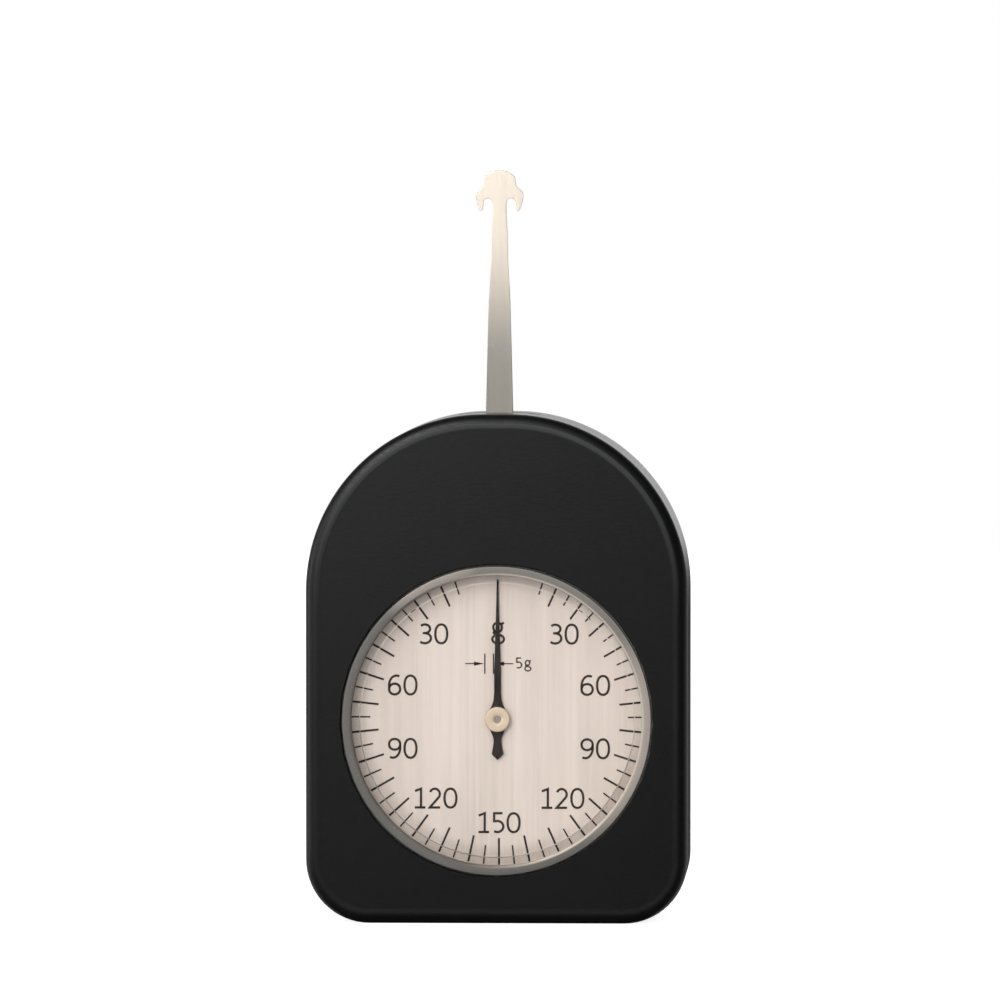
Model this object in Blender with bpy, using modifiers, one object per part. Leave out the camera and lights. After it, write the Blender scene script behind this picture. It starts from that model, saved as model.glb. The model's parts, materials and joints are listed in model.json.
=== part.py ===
"""Dial tension gauge: a black case with a round dial, a sprung feeler lever and a geared pointer.

The gauge stands on the flat bottom edge of its case, its dial faces -Y and its lever points to +Z.
Sizes are in metres. Every piece is drawn in a flat plane and turned upright by one rotation:
local X is the world's X, local Y is up, and local Z is the height towards the front of the gauge.
"""

import math

import bmesh
import bpy
import numpy as np

MM = 0.001

# Case: outline, walls and the seam between the two shells
case_width = 60.0 * MM
case_height = 80.0 * MM
case_depth = 26.0 * MM
dome_share = 0.927
dome_radius = dome_share * case_width / 2
dome_centre_up = case_height - dome_radius
bottom_corner_radius = 10.0 * MM
rim_radius = 1.6 * MM
side_wall = 2.0 * MM
front_wall = 1.5 * MM
rear_wall = 2.0 * MM
lip_thickness = 0.8 * MM
lip_height = 1.6 * MM
seam_height = 0.0 * MM

# Clearances
rest_gap = 0.3 * MM
seam_gap = 0.3 * MM
pivot_clearance = 0.05 * MM
swing_clearance = 0.35 * MM
cut_overrun = 1.0 * MM

# Axes of the movement
dial_up = 31.9 * MM
tooth_module = 0.25 * MM
pinion_teeth = 15
wheel_teeth = 225
lever_swing = math.radians(12.0)
pinion_pitch_radius = pinion_teeth * tooth_module / 2
wheel_pitch_radius = wheel_teeth * tooth_module / 2
pivot_up = dial_up + pinion_pitch_radius + wheel_pitch_radius

# Window: bezel ring, crystal, gasket, spacer and dial, from the front of the case backwards
bezel_outer_radius = 24.25 * MM
bezel_band = 1.42 * MM
bezel_inner_radius = bezel_outer_radius - bezel_band
bezel_recess = 0.2 * MM
bezel_chamfer = 0.6 * MM
bezel_web = 0.5 * MM
bezel_flange_width = 2.13 * MM
bezel_flange_radius = bezel_outer_radius + bezel_flange_width
bezel_flange_depth = 1.6 * MM
lens_seat_width = 1.0 * MM
lens_radius = bezel_inner_radius + lens_seat_width
lens_thickness = 1.2 * MM
lens_chamfer = 0.4 * MM
gasket_inner_radius = lens_radius - rest_gap
gasket_thickness = 0.6 * MM
spacer_thickness = 0.7 * MM
stack_clearance = 0.2 * MM
stack_radius = bezel_flange_radius - stack_clearance
dial_thickness = 0.8 * MM
dial_hole_radius = 1.9 * MM
dial_foot_radius = 0.9 * MM
dial_foot_length = 1.5 * MM
dial_foot_out = 16.0 * MM

# Movement plates, pillars and bearings
plate_thickness = 1.5 * MM
plate_edge_clearance = 0.6 * MM
spring_room = 1.4 * MM
back_plate_top_radius = 15.5 * MM
back_plate_dial_radius = 19.0 * MM
pillar_radius = 1.6 * MM
pillar_spigot_radius = 1.0 * MM
pillar_screw_radius = 0.7 * MM
upper_pillar_out = 11.5 * MM
upper_pillar_rise = 5.1 * MM
lower_pillar_out = 13.0 * MM
lower_pillar_drop = 7.9 * MM
bush_radius = 2.2 * MM
bush_flange_radius = 2.9 * MM
bush_flange_thickness = 0.4 * MM
lever_pivot_radius = 0.75 * MM
pointer_pivot_radius = 0.5 * MM
pointer_neck_radius = 0.9 * MM

# Lever, its hub and the sector
lever_arbor_radius = 1.2 * MM
lever_thickness = 1.0 * MM
lever_eye_radius = 5.6 * MM
lever_hub_radius = 2.2 * MM
lever_flange_radius = 5.2 * MM
lever_flange_thickness = 1.2 * MM
lever_spacer_thickness = 0.7 * MM
lever_screw_out = 3.8 * MM
lever_screw_radius = 0.5 * MM
lever_screw_head_radius = 0.95 * MM
lever_screw_head_height = 0.6 * MM
lever_foot_width = 4.35 * MM
lever_knee_width = 3.42 * MM
lever_waist_width = 2.68 * MM
lever_neck_width = 2.6 * MM
lever_throat_width = 2.2 * MM
lever_knee_up = 97.7 * MM
lever_waist_up = 104.0 * MM
lever_neck_up = 107.8 * MM
head_top_up = 118.3 * MM
head_corner_up = 117.35 * MM
head_corner_out = 2.35 * MM
head_side_up = 115.75 * MM
head_side_out = 2.55 * MM
shoulder_up = 114.9 * MM
shoulder_out = 3.7 * MM
hook_outer_up = 113.8 * MM
hook_outer_out = 3.75 * MM
hook_tip_up = 111.85 * MM
hook_tip_out = 3.05 * MM
hook_inner_out = 2.55 * MM
hook_edge = 0.2 * MM
head_edge = 0.4 * MM
notch_radius = (hook_inner_out - lever_throat_width / 2) / 2
notch_top_up = 113.85 * MM
sector_thickness = 0.8 * MM
sector_half_teeth = 9
sector_eye_radius = 5.4 * MM
sector_web_width = 7.0 * MM
sector_rim_width = 3.2 * MM
sector_eye_share = 0.8
sector_end_share = 0.75
balance_radius = 2.6 * MM
balance_thickness = 1.6 * MM
balance_arm = 15.0 * MM
balance_rivet_radius = 0.7 * MM

# Teeth
pressure_angle = math.radians(20.0)
addendum = 0.2 * MM
dedendum = 0.27 * MM
backlash = 0.05 * MM

# Springs, collets and studs
main_spring_thickness = 0.35 * MM
main_spring_height = 2.0 * MM
main_spring_turns = 4
main_spring_pitch = 1.15 * MM
main_collet_radius = 2.4 * MM
main_collet_height = 2.8 * MM
main_stud_radius = 0.9 * MM
hairspring_thickness = 0.15 * MM
hairspring_height = 1.0 * MM
hairspring_turns = 5
hairspring_pitch = 0.9 * MM
hair_collet_radius = 1.7 * MM
hair_collet_height = 1.5 * MM
hair_stud_radius = 0.7 * MM
stud_spigot_radius = 0.6 * MM

# Pinion and pointer
pinion_height = 2.4 * MM
pinion_behind_sector = 0.8 * MM
pointer_tip_radius = 0.5 * MM
pointer_thickness = 0.3 * MM
pointer_lift = 0.45 * MM
pointer_end_gap = 0.75 * MM
pointer_length = bezel_inner_radius - pointer_end_gap
pointer_tip_width = 0.25 * MM
pointer_middle_width = 0.8 * MM
pointer_root_width = 1.06 * MM
pointer_eye_radius = 1.9 * MM
pointer_tail_length = 6.45 * MM
pointer_tail_neck = 1.2 * MM
pointer_tail_width = 1.86 * MM
pointer_tail_share = 1.6
pointer_root_share = 0.22
pointer_middle_share = 0.5
hub_cap_radius = 1.96 * MM
hub_cap_height = 0.85 * MM
hub_barrel_radius = 1.2 * MM
hub_chamfer = 0.25 * MM
pointer_eye_bore = hub_barrel_radius + rest_gap
pointer_eye_low = math.radians(-58.0)
pointer_eye_high = math.radians(66.0)

# Stops and screws
stop_pin_radius = 0.8 * MM
stop_rise = 10.1 * MM
stop_gap = 0.12 * MM
case_boss_radius = 2.8 * MM
mount_boss_radius = 2.0 * MM
screw_shaft_radius = 1.0 * MM
screw_head_radius = 2.0 * MM
screw_head_height = 1.2 * MM
screw_slot_width = 0.5 * MM
screw_slot_depth = 0.5 * MM
screw_blind_depth = 3.6 * MM
mount_head_radius = 1.8 * MM
pillar_head_radius = 1.7 * MM
pillar_screw_length = 3.0 * MM
upper_case_screw = (18.0 * MM, 67.8 * MM)
lower_case_screw = (23.3 * MM, 6.7 * MM)
upper_mount_out = 13.5 * MM
upper_mount_drop = 0.4 * MM
upper_mount_clear = math.sqrt(
    (bezel_flange_radius + mount_boss_radius + rest_gap) ** 2 - upper_mount_out ** 2)
upper_mount_up = max(pivot_up - upper_mount_drop, dial_up + upper_mount_clear)
upper_mount_screw = (upper_mount_out, upper_mount_up)
lower_mount_screw = (19.8 * MM, 10.2 * MM)

# Steps of the round forms
FINE_STEPS = 72
RING_STEPS = 48
ROUND_STEPS = 20
SMALL_STEPS = 12
ARC_STEPS = 7
RIM_STEPS = 3
SPIRAL_STEPS = 18

# Angles, in degrees, above which an edge is sharp or gets the rim
SHARP_ANGLE = 32
RIM_ANGLE = 40

# Points closer than this are one point
MERGE_DISTANCE = 0.001 * MM

# Heights towards the front, worked out from the sizes above
front_face = case_depth / 2
back_face = -case_depth / 2
front_inside = front_face - front_wall
back_inside = back_face + rear_wall
flange_front = front_inside - rest_gap
flange_back = flange_front - bezel_web - bezel_flange_depth
lens_front = flange_front - bezel_web - rest_gap / 2
lens_back = lens_front - lens_thickness
gasket_front = min(lens_back, flange_back) - rest_gap
gasket_back = gasket_front - gasket_thickness
spacer_front = gasket_back - rest_gap
spacer_back = spacer_front - spacer_thickness
dial_front = spacer_back - rest_gap
dial_back = dial_front - dial_thickness
front_plate_front = dial_back - rest_gap
front_plate_back = front_plate_front - plate_thickness
lever_front = lever_thickness / 2
lever_back = -lever_thickness / 2
slot_half_depth = lever_thickness / 2 + 2 * rest_gap
spacer_ring_back = lever_front + rest_gap
spacer_ring_front = spacer_ring_back + lever_spacer_thickness
sector_back = spacer_ring_front + rest_gap
sector_front = sector_back + sector_thickness
hub_flange_front = lever_back - rest_gap
hub_flange_back = hub_flange_front - lever_flange_thickness
main_collet_front = hub_flange_back - rest_gap
main_collet_back = main_collet_front - main_collet_height
main_spring_middle = (main_collet_front + main_collet_back) / 2
hair_collet_front = main_collet_front
hair_collet_back = hair_collet_front - hair_collet_height
hairspring_middle = (hair_collet_front + hair_collet_back) / 2
back_plate_front = main_collet_back - spring_room
back_plate_back = back_plate_front - plate_thickness
pinion_back = sector_back - pinion_behind_sector
pinion_front = pinion_back + pinion_height
pointer_back = dial_front + pointer_lift
pointer_front = pointer_back + pointer_thickness
hub_cap_back = pointer_front + rest_gap
hub_cap_front = hub_cap_back + hub_cap_height

main_spring_inner = main_collet_radius + rest_gap + main_spring_thickness / 2
main_spring_outer = main_spring_inner + main_spring_turns * main_spring_pitch
hairspring_inner = hair_collet_radius + rest_gap + hairspring_thickness / 2
hairspring_outer = hairspring_inner + hairspring_turns * hairspring_pitch
main_stud_place = (-(main_spring_outer + main_spring_thickness / 2 + rest_gap + main_stud_radius),
                   pivot_up)
hair_stud_place = (hairspring_outer + hairspring_thickness / 2 + rest_gap + hair_stud_radius,
                   dial_up)


# Collections and materials

def clear_scene():
    for old in list(bpy.data.objects):
        bpy.data.objects.remove(old, do_unlink=True)


def new_collection(name):
    collection = bpy.data.collections.new(name)
    bpy.context.scene.collection.children.link(collection)
    return collection


clear_scene()
pieces = new_collection("dial_tension_gauge")
cutters = new_collection("cutters")


def finish(name, colour, roughness, metallic):
    material = bpy.data.materials.new(name)
    material.use_nodes = True
    shader = material.node_tree.nodes["Principled BSDF"]
    shader.inputs["Base Color"].default_value = (*colour, 1)
    shader.inputs["Roughness"].default_value = roughness
    shader.inputs["Metallic"].default_value = metallic
    material.diffuse_color = (*colour, 1)
    return material


black_shell = finish("black_shell", (0.018, 0.018, 0.02), 0.42, 0)
satin_ring = finish("satin_ring", (0.42, 0.41, 0.39), 0.38, 1)
crystal = finish("crystal", (0.95, 0.96, 0.96), 0.04, 0)
black_rubber = finish("black_rubber", (0.03, 0.03, 0.03), 0.8, 0)
silver_dial = finish("silver_dial", (0.72, 0.66, 0.6), 0.45, 0.6)
bright_steel = finish("bright_steel", (0.68, 0.66, 0.62), 0.28, 1)
dark_steel = finish("dark_steel", (0.05, 0.035, 0.04), 0.4, 0.6)
pale_brass = finish("pale_brass", (0.66, 0.55, 0.4), 0.35, 1)
yellow_brass = finish("yellow_brass", (0.72, 0.53, 0.22), 0.32, 1)
blued_spring = finish("blued_spring", (0.2, 0.22, 0.32), 0.3, 1)


# Making solids

def place(obj, height, out=0.0, up=0.0):
    obj.rotation_euler = (math.pi / 2, 0, 0)
    obj.location = (out, -height, up)
    return obj


def add(obj, material, cutter=False):
    (cutters if cutter else pieces).objects.link(obj)
    if cutter:
        obj.hide_render = True
        obj.display_type = "WIRE"
    else:
        obj.data.materials.clear()
        obj.data.materials.append(material)
        obj.data.shade_smooth()
        obj.data.set_sharp_from_angle(angle=math.radians(SHARP_ANGLE))
    return obj


def turned(name, profile, material, height=0.0, up=0.0, out=0.0, steps=ROUND_STEPS, bored=False,
           cutter=False):
    """A turned piece: (radius, height) points down the outer side, then up the bore if it has one."""
    mesh = bpy.data.meshes.new(name)
    shape = bmesh.new()
    points = [shape.verts.new((radius, 0, rise)) for radius, rise in profile]
    for first, second in zip(points, points[1:]):
        shape.edges.new((first, second))
    if bored:
        shape.edges.new((points[-1], points[0]))
    shape.to_mesh(mesh)
    shape.free()
    obj = bpy.data.objects.new(name, mesh)
    screw = obj.modifiers.new("turn", "SCREW")
    screw.steps = steps
    screw.render_steps = steps
    screw.use_merge_vertices = True
    screw.merge_threshold = 10 * MERGE_DISTANCE
    screw.use_smooth_shade = True
    place(obj, height, out, up)
    return add(obj, material, cutter)


def flat_piece(name, loops, low, high, material, out=0.0, up=0.0, cutter=False):
    """A flat piece cut from sheet: a filled outline with holes, between two heights."""
    curve = bpy.data.curves.new(name, "CURVE")
    curve.dimensions = "2D"
    curve.fill_mode = "BOTH"
    curve.extrude = (high - low) / 2
    for loop in loops:
        spline = curve.splines.new("POLY")
        spline.points.add(len(loop) - 1)
        for point, (x, y) in zip(spline.points, loop):
            point.co = (x, y, 0, 1)
        spline.use_cyclic_u = True
    drawn = bpy.data.objects.new(name + "_outline", curve)
    cutters.objects.link(drawn)
    place(drawn, (high + low) / 2, out, up)
    bpy.context.view_layer.update()
    evaluated = drawn.evaluated_get(bpy.context.evaluated_depsgraph_get())
    mesh = bpy.data.meshes.new_from_object(evaluated)
    mesh.name = name
    shape = bmesh.new()
    shape.from_mesh(mesh)
    bmesh.ops.remove_doubles(shape, verts=shape.verts, dist=MERGE_DISTANCE)
    bmesh.ops.recalc_face_normals(shape, faces=shape.faces)
    shape.to_mesh(mesh)
    shape.free()
    obj = bpy.data.objects.new(name, mesh)
    obj.matrix_world = drawn.matrix_world
    bpy.data.objects.remove(drawn, do_unlink=True)
    bpy.data.curves.remove(curve)
    return add(obj, material, cutter)


def boolean(obj, other, operation="DIFFERENCE"):
    modifier = obj.modifiers.new(operation.lower(), "BOOLEAN")
    modifier.operation = operation
    modifier.solver = "EXACT"
    modifier.object = other


def weld(obj):
    modifier = obj.modifiers.new("weld", "WELD")
    modifier.merge_threshold = 2 * MERGE_DISTANCE


def peg(name, radius, low, high, out, up, steps=SMALL_STEPS):
    """A round cutter or an added round boss, kept with the cutters."""
    profile = [(0, high), (radius, high), (radius, low), (0, low)]
    return turned(name, profile, None, 0.0, up, out, steps, cutter=True)


def block(name, size, centre):
    """A box cutter, given in world directions."""
    mesh = bpy.data.meshes.new(name)
    shape = bmesh.new()
    bmesh.ops.create_cube(shape, size=1)
    bmesh.ops.scale(shape, vec=size, verts=shape.verts)
    shape.to_mesh(mesh)
    shape.free()
    obj = bpy.data.objects.new(name, mesh)
    obj.location = centre
    return add(obj, None, True)


# Outlines

def arc(x, y, radius, start, end, steps=ARC_STEPS):
    angles = np.linspace(start, end, steps + 1)
    return [(x + radius * math.cos(a), y + radius * math.sin(a)) for a in angles]


def circle(radius, steps=SMALL_STEPS, x=0.0, y=0.0):
    angles = np.arange(steps) * 2 * math.pi / steps
    return [(x + radius * math.cos(a), y + radius * math.sin(a)) for a in angles]


def holes(places, radius, steps=SMALL_STEPS):
    return [circle(radius, steps, out, up) for out, up in places]


def mirrored(half):
    """A whole outline from its right half, which runs from the bottom to the top."""
    return half + [(-x, y) for x, y in reversed(half) if x > 0]


def case_outline(inset):
    corner = bottom_corner_radius - inset
    side = case_width / 2 - bottom_corner_radius
    half = arc(side, bottom_corner_radius, corner, -math.pi / 2, 0, ARC_STEPS)
    half += arc(case_width / 2 - dome_radius, dome_centre_up, dome_radius - inset, 0, math.pi / 2,
                2 * ARC_STEPS)
    return mirrored(half)


def pear_outline(low_up, low_radius, high_up, high_radius):
    """Two circles on the middle line, joined by the straight lines that touch both."""
    lean = math.asin((low_radius - high_radius) / (high_up - low_up))
    half = arc(0, low_up, low_radius, -math.pi / 2, lean, 2 * ARC_STEPS)
    half += arc(0, high_up, high_radius, lean, math.pi / 2, 2 * ARC_STEPS)
    return half[:1] + half[1:-1] + [half[-1]] + [(-x, y) for x, y in reversed(half[1:-1])]


def both_sides(place_right):
    out, up = place_right
    return [(-out, up), (out, up)]


case_screws = both_sides(lower_case_screw) + both_sides(upper_case_screw)
mount_screws = both_sides(lower_mount_screw) + both_sides(upper_mount_screw)
pillars = both_sides((lower_pillar_out, dial_up - lower_pillar_drop))
pillars += both_sides((upper_pillar_out, pivot_up + upper_pillar_rise))


def lever_half_width(up):
    """Half the lever's width below its knee, a taper that goes on inside the case."""
    slope = (lever_foot_width - lever_knee_width) / 2 / (lever_knee_up - case_height)
    return lever_knee_width / 2 + slope * (lever_knee_up - up)


def swing_reach(up, clear):
    """How far to one side the lever's edge gets at a height, at the end of its swing."""
    rise = up - pivot_up
    reach = lever_half_width(up) + clear + rise * math.sin(lever_swing)
    return reach / math.cos(lever_swing)


slot_half_width = swing_reach(case_height, swing_clearance)
stop_out = swing_reach(pivot_up + stop_rise, stop_pin_radius + stop_gap)
stops = both_sides((stop_out, pivot_up + stop_rise))


# Case shells

def case_block(name):
    """The whole outside of the case, with its front and back edges rounded."""
    loops = [case_outline(0)]
    obj = flat_piece(name, loops, back_face, front_face, black_shell)
    shape = bmesh.new()
    shape.from_mesh(obj.data)
    bmesh.ops.dissolve_limit(shape, angle_limit=math.radians(1), verts=shape.verts, edges=shape.edges)
    shape.to_mesh(obj.data)
    shape.free()
    bevel = obj.modifiers.new("rim", "BEVEL")
    bevel.limit_method = "ANGLE"
    bevel.angle_limit = math.radians(RIM_ANGLE)
    bevel.width = rim_radius
    bevel.segments = RIM_STEPS
    return obj


def half_space(name, low, high):
    size = (2 * case_width, high - low, 2 * case_height)
    return block(name, size, (0, -(high + low) / 2, case_height / 2))


def slot_cutter():
    size = (2 * slot_half_width, 2 * slot_half_depth, 4 * side_wall)
    return block("slot_cut", size, (0, 0, case_height))


def front_case():
    obj = case_block("front_case")
    rim = seam_height + seam_gap / 2
    boolean(obj, half_space("behind_seam", back_face - cut_overrun, rim))
    window = peg("window_cut", bezel_outer_radius + rest_gap, front_inside - cut_overrun,
                 front_face + cut_overrun, 0, dial_up, FINE_STEPS)
    boolean(obj, window)
    cavity = flat_piece("front_cavity", [case_outline(side_wall)], back_face, front_inside, None,
                        cutter=True)
    boolean(obj, cavity)
    rebate_inset = side_wall - lip_thickness - rest_gap
    rebate = flat_piece("front_rebate", [case_outline(rebate_inset)], back_face,
                        seam_height + lip_height + rest_gap, None, cutter=True)
    boolean(obj, rebate)
    weld(obj)
    boolean(obj, slot_cutter())
    boss_back = front_plate_front + rest_gap
    boss_front = front_inside + front_wall / 2
    bosses = holes(case_screws, case_boss_radius) + holes(mount_screws, mount_boss_radius)
    boolean(obj, flat_piece("front_bosses", bosses, boss_back, boss_front, None, cutter=True), "UNION")
    bores = holes(case_screws + mount_screws, screw_shaft_radius + rest_gap)
    boolean(obj, flat_piece("front_bores", bores, boss_back - cut_overrun,
                            boss_back + screw_blind_depth + rest_gap, None, cutter=True))
    return obj


def rear_case():
    obj = case_block("rear_case")
    rim = seam_height - seam_gap / 2
    boolean(obj, half_space("before_lip", seam_height + lip_height, front_face + cut_overrun))
    outside = flat_piece("lip_outside", [case_outline(-case_width), case_outline(side_wall - lip_thickness)],
                         rim, front_face + cut_overrun, None, cutter=True)
    boolean(obj, outside)
    cavity = flat_piece("rear_cavity", [case_outline(side_wall)], back_inside, front_face + cut_overrun,
                        None, cutter=True)
    boolean(obj, cavity)
    boolean(obj, slot_cutter())
    post_front = front_plate_back - rest_gap
    post_back = back_inside - rear_wall / 2
    posts = holes(case_screws, case_boss_radius)
    boolean(obj, flat_piece("rear_posts", posts, post_back, post_front, None, cutter=True), "UNION")
    bores = holes(case_screws, screw_shaft_radius + rest_gap)
    boolean(obj, flat_piece("rear_bores", bores, back_face - cut_overrun, post_front + cut_overrun,
                            None, cutter=True))
    recesses = holes(case_screws, screw_head_radius + rest_gap, ROUND_STEPS)
    boolean(obj, flat_piece("rear_recesses", recesses, back_face - cut_overrun,
                            back_face + screw_head_height + 2 * rest_gap, None, cutter=True))
    return obj


def screw(name, out, up, head_back, head_radius, shaft_front, material):
    """A cheese-head screw whose head is at the back and whose shaft points to the front."""
    head_front = head_back + screw_head_height
    profile = [(0, shaft_front), (screw_shaft_radius, shaft_front), (screw_shaft_radius, head_front),
               (head_radius, head_front), (head_radius, head_back), (0, head_back)]
    obj = turned(name, profile, material, 0.0, up, out, SMALL_STEPS)
    size = (4 * head_radius, screw_slot_depth * 2, screw_slot_width)
    boolean(obj, block(name + "_slot", size, (out, -head_back, up)))
    return obj


# Window and dial

def bezel_ring():
    front = front_face - bezel_recess
    pocket = lens_radius + rest_gap
    web_back = flange_front - bezel_web
    profile = [(bezel_inner_radius + bezel_chamfer, front), (bezel_outer_radius, front),
               (bezel_outer_radius, flange_front), (bezel_flange_radius, flange_front),
               (bezel_flange_radius, flange_back), (pocket, flange_back), (pocket, web_back),
               (bezel_inner_radius, web_back), (bezel_inner_radius, front - bezel_chamfer)]
    return turned("bezel_ring", profile, satin_ring, 0.0, dial_up, 0.0, FINE_STEPS, bored=True)


def window_lens():
    front = lens_front - rest_gap / 2
    profile = [(0, front), (lens_radius - lens_chamfer, front), (lens_radius, front - lens_chamfer),
               (lens_radius, lens_back), (0, lens_back)]
    return turned("window_lens", profile, crystal, 0.0, dial_up, 0.0, FINE_STEPS)


def flat_ring(name, inner, outer, low, high, material, steps=RING_STEPS, up=dial_up):
    loops = [circle(outer, steps), circle(inner, steps)]
    return flat_piece(name, loops, low, high, material, 0.0, up)


def dial_plate():
    loops = [circle(stack_radius, FINE_STEPS), circle(dial_hole_radius, ROUND_STEPS)]
    obj = flat_piece("dial_plate", loops, dial_back, dial_front, silver_dial, 0.0, dial_up)
    for number, (out, up) in enumerate(both_sides((dial_foot_out, dial_up)), 1):
        foot = peg(f"dial_foot_{number}", dial_foot_radius, dial_back - dial_foot_length,
                   (dial_back + dial_front) / 2, out, up)
        boolean(obj, foot, "UNION")
    return obj


# Movement frame

def movement_plates():
    bushes = holes([(0, dial_up), (0, pivot_up)], bush_radius + rest_gap, ROUND_STEPS)
    spigots = holes(pillars, pillar_spigot_radius + rest_gap)
    front_loops = [case_outline(side_wall + plate_edge_clearance)] + bushes + spigots
    front_loops += holes(mount_screws + case_screws, screw_shaft_radius + rest_gap)
    front_loops += holes(both_sides((dial_foot_out, dial_up)), dial_foot_radius + rest_gap)
    front_loops += holes(stops, stop_pin_radius + rest_gap)
    flat_piece("front_plate", front_loops, front_plate_back, front_plate_front, yellow_brass)
    pear = pear_outline(dial_up, back_plate_dial_radius, pivot_up, back_plate_top_radius)
    stud_holes = holes([main_stud_place, hair_stud_place], stud_spigot_radius + rest_gap)
    back_loops = [pear] + bushes + holes(pillars, pillar_screw_radius + rest_gap) + stud_holes
    flat_piece("back_plate", back_loops, back_plate_back, back_plate_front, yellow_brass)

def pillar(number, out, up):
    top = front_plate_back - rest_gap
    foot = back_plate_front + rest_gap
    spigot_top = front_plate_front - rest_gap
    bore_bottom = foot + pillar_screw_length
    profile = [(0, spigot_top), (pillar_spigot_radius, spigot_top), (pillar_spigot_radius, top),
               (pillar_radius, top), (pillar_radius, foot), (pillar_screw_radius + rest_gap, foot),
               (pillar_screw_radius + rest_gap, bore_bottom), (0, bore_bottom)]
    return turned(f"pillar_{number}", profile, yellow_brass, 0.0, up, out, SMALL_STEPS)


def pillar_screw(number, out, up):
    head_front = back_plate_back - rest_gap
    head_back = head_front - screw_head_height
    tip = back_plate_front + rest_gap + pillar_screw_length - rest_gap
    profile = [(0, tip), (pillar_screw_radius, tip), (pillar_screw_radius, head_front),
               (pillar_head_radius, head_front), (pillar_head_radius, head_back), (0, head_back)]
    obj = turned(f"pillar_screw_{number}", profile, bright_steel, 0.0, up, out, SMALL_STEPS)
    size = (4 * pillar_head_radius, screw_slot_depth * 2, screw_slot_width)
    boolean(obj, block(f"pillar_slot_{number}", size, (out, -head_back, up)))


def bush(name, up, bore, plate_low, plate_high, flange_inward):
    """A flanged bearing bush in a plate; its flange lies on the plate's inner face."""
    low, high = plate_low + rest_gap / 2, plate_high - rest_gap / 2
    if flange_inward > 0:
        flange_low = plate_high + rest_gap
        profile = [(bush_flange_radius, flange_low + bush_flange_thickness),
                   (bush_flange_radius, flange_low), (bush_radius, flange_low), (bush_radius, low),
                   (bore, low), (bore, flange_low + bush_flange_thickness)]
    else:
        flange_high = plate_low - rest_gap
        flange_low = flange_high - bush_flange_thickness
        profile = [(bush_radius, high), (bush_radius, flange_high), (bush_flange_radius, flange_high),
                   (bush_flange_radius, flange_low), (bore, flange_low), (bore, high)]
    return turned(name, profile, pale_brass, 0.0, up, 0.0, ROUND_STEPS, bored=True)


def stud(name, spot, radius, spring_middle, spring_height):
    """A post riveted in the back plate that holds a spring's outer end."""
    top = spring_middle + spring_height / 2
    shoulder = back_plate_front + rest_gap
    spigot_end = back_plate_back + rest_gap
    out, up = spot
    profile = [(0, top), (radius, top), (radius, shoulder), (stud_spigot_radius, shoulder),
               (stud_spigot_radius, spigot_end), (0, spigot_end)]
    return turned(name, profile, yellow_brass, 0.0, up, out, SMALL_STEPS)


def stop_pin(name, out, up):
    profile = [(0, front_plate_front - rest_gap), (stop_pin_radius, front_plate_front - rest_gap),
               (stop_pin_radius, lever_back - rest_gap), (0, lever_back - rest_gap)]
    return turned(name, profile, bright_steel, 0.0, up, out, SMALL_STEPS)


# Springs

def spiral_outline(inner, turns, pitch, thickness, outer_angle, steps_per_turn=SPIRAL_STEPS):
    """A flat strip wound as an even spiral, whose outer end lies at outer_angle."""
    count = turns * steps_per_turn
    outer_edge, inner_edge = [], []
    for step in range(count + 1):
        turn = step / steps_per_turn
        angle = outer_angle - 2 * math.pi * (turns - turn)
        radius = inner + pitch * turn
        for edge, shift in ((outer_edge, thickness / 2), (inner_edge, -thickness / 2)):
            edge.append(((radius + shift) * math.cos(angle), (radius + shift) * math.sin(angle)))
    return outer_edge + inner_edge[::-1]


def least_spring_gap(inner, turns, pitch, thickness, steps_per_turn=SPIRAL_STEPS):
    """The least distance between neighbouring turns, measured on the strip's own corner points."""
    loop = np.array(spiral_outline(inner, turns, pitch, thickness, 0.0, steps_per_turn))
    edge_count = len(loop) // 2
    outer_edge, inner_edge = loop[:edge_count], loop[edge_count:][::-1]
    gaps = []
    for step in range(edge_count - steps_per_turn):
        facing = inner_edge[step + steps_per_turn // 2:]
        gaps.append(np.linalg.norm(facing - outer_edge[step], axis=1).min())
    return min(gaps)


def springs():
    main_loop = spiral_outline(main_spring_inner, main_spring_turns, main_spring_pitch,
                               main_spring_thickness, math.pi)
    flat_piece("main_spring", [main_loop], main_spring_middle - main_spring_height / 2,
               main_spring_middle + main_spring_height / 2, blued_spring, 0.0, pivot_up)
    hair_loop = spiral_outline(hairspring_inner, hairspring_turns, hairspring_pitch,
                               hairspring_thickness, 0.0)
    flat_piece("hairspring", [hair_loop], hairspring_middle - hairspring_height / 2,
               hairspring_middle + hairspring_height / 2, blued_spring, 0.0, dial_up)
    for name, inner, turns, pitch, thickness in (
            ("main_spring", main_spring_inner, main_spring_turns, main_spring_pitch,
             main_spring_thickness),
            ("hairspring", hairspring_inner, hairspring_turns, hairspring_pitch,
             hairspring_thickness)):
        gap = least_spring_gap(inner, turns, pitch, thickness)
        print(f"{name}: least gap between turns {gap / MM:.2f} mm")


# Teeth

def involute_point(base_radius, radius, turn):
    """A point of the involute at a radius, with its start turned to the angle turn."""
    roll = math.sqrt(max((radius / base_radius) ** 2 - 1, 0))
    angle = turn + roll - math.atan(roll)
    return radius * math.cos(angle), radius * math.sin(angle)


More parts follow.
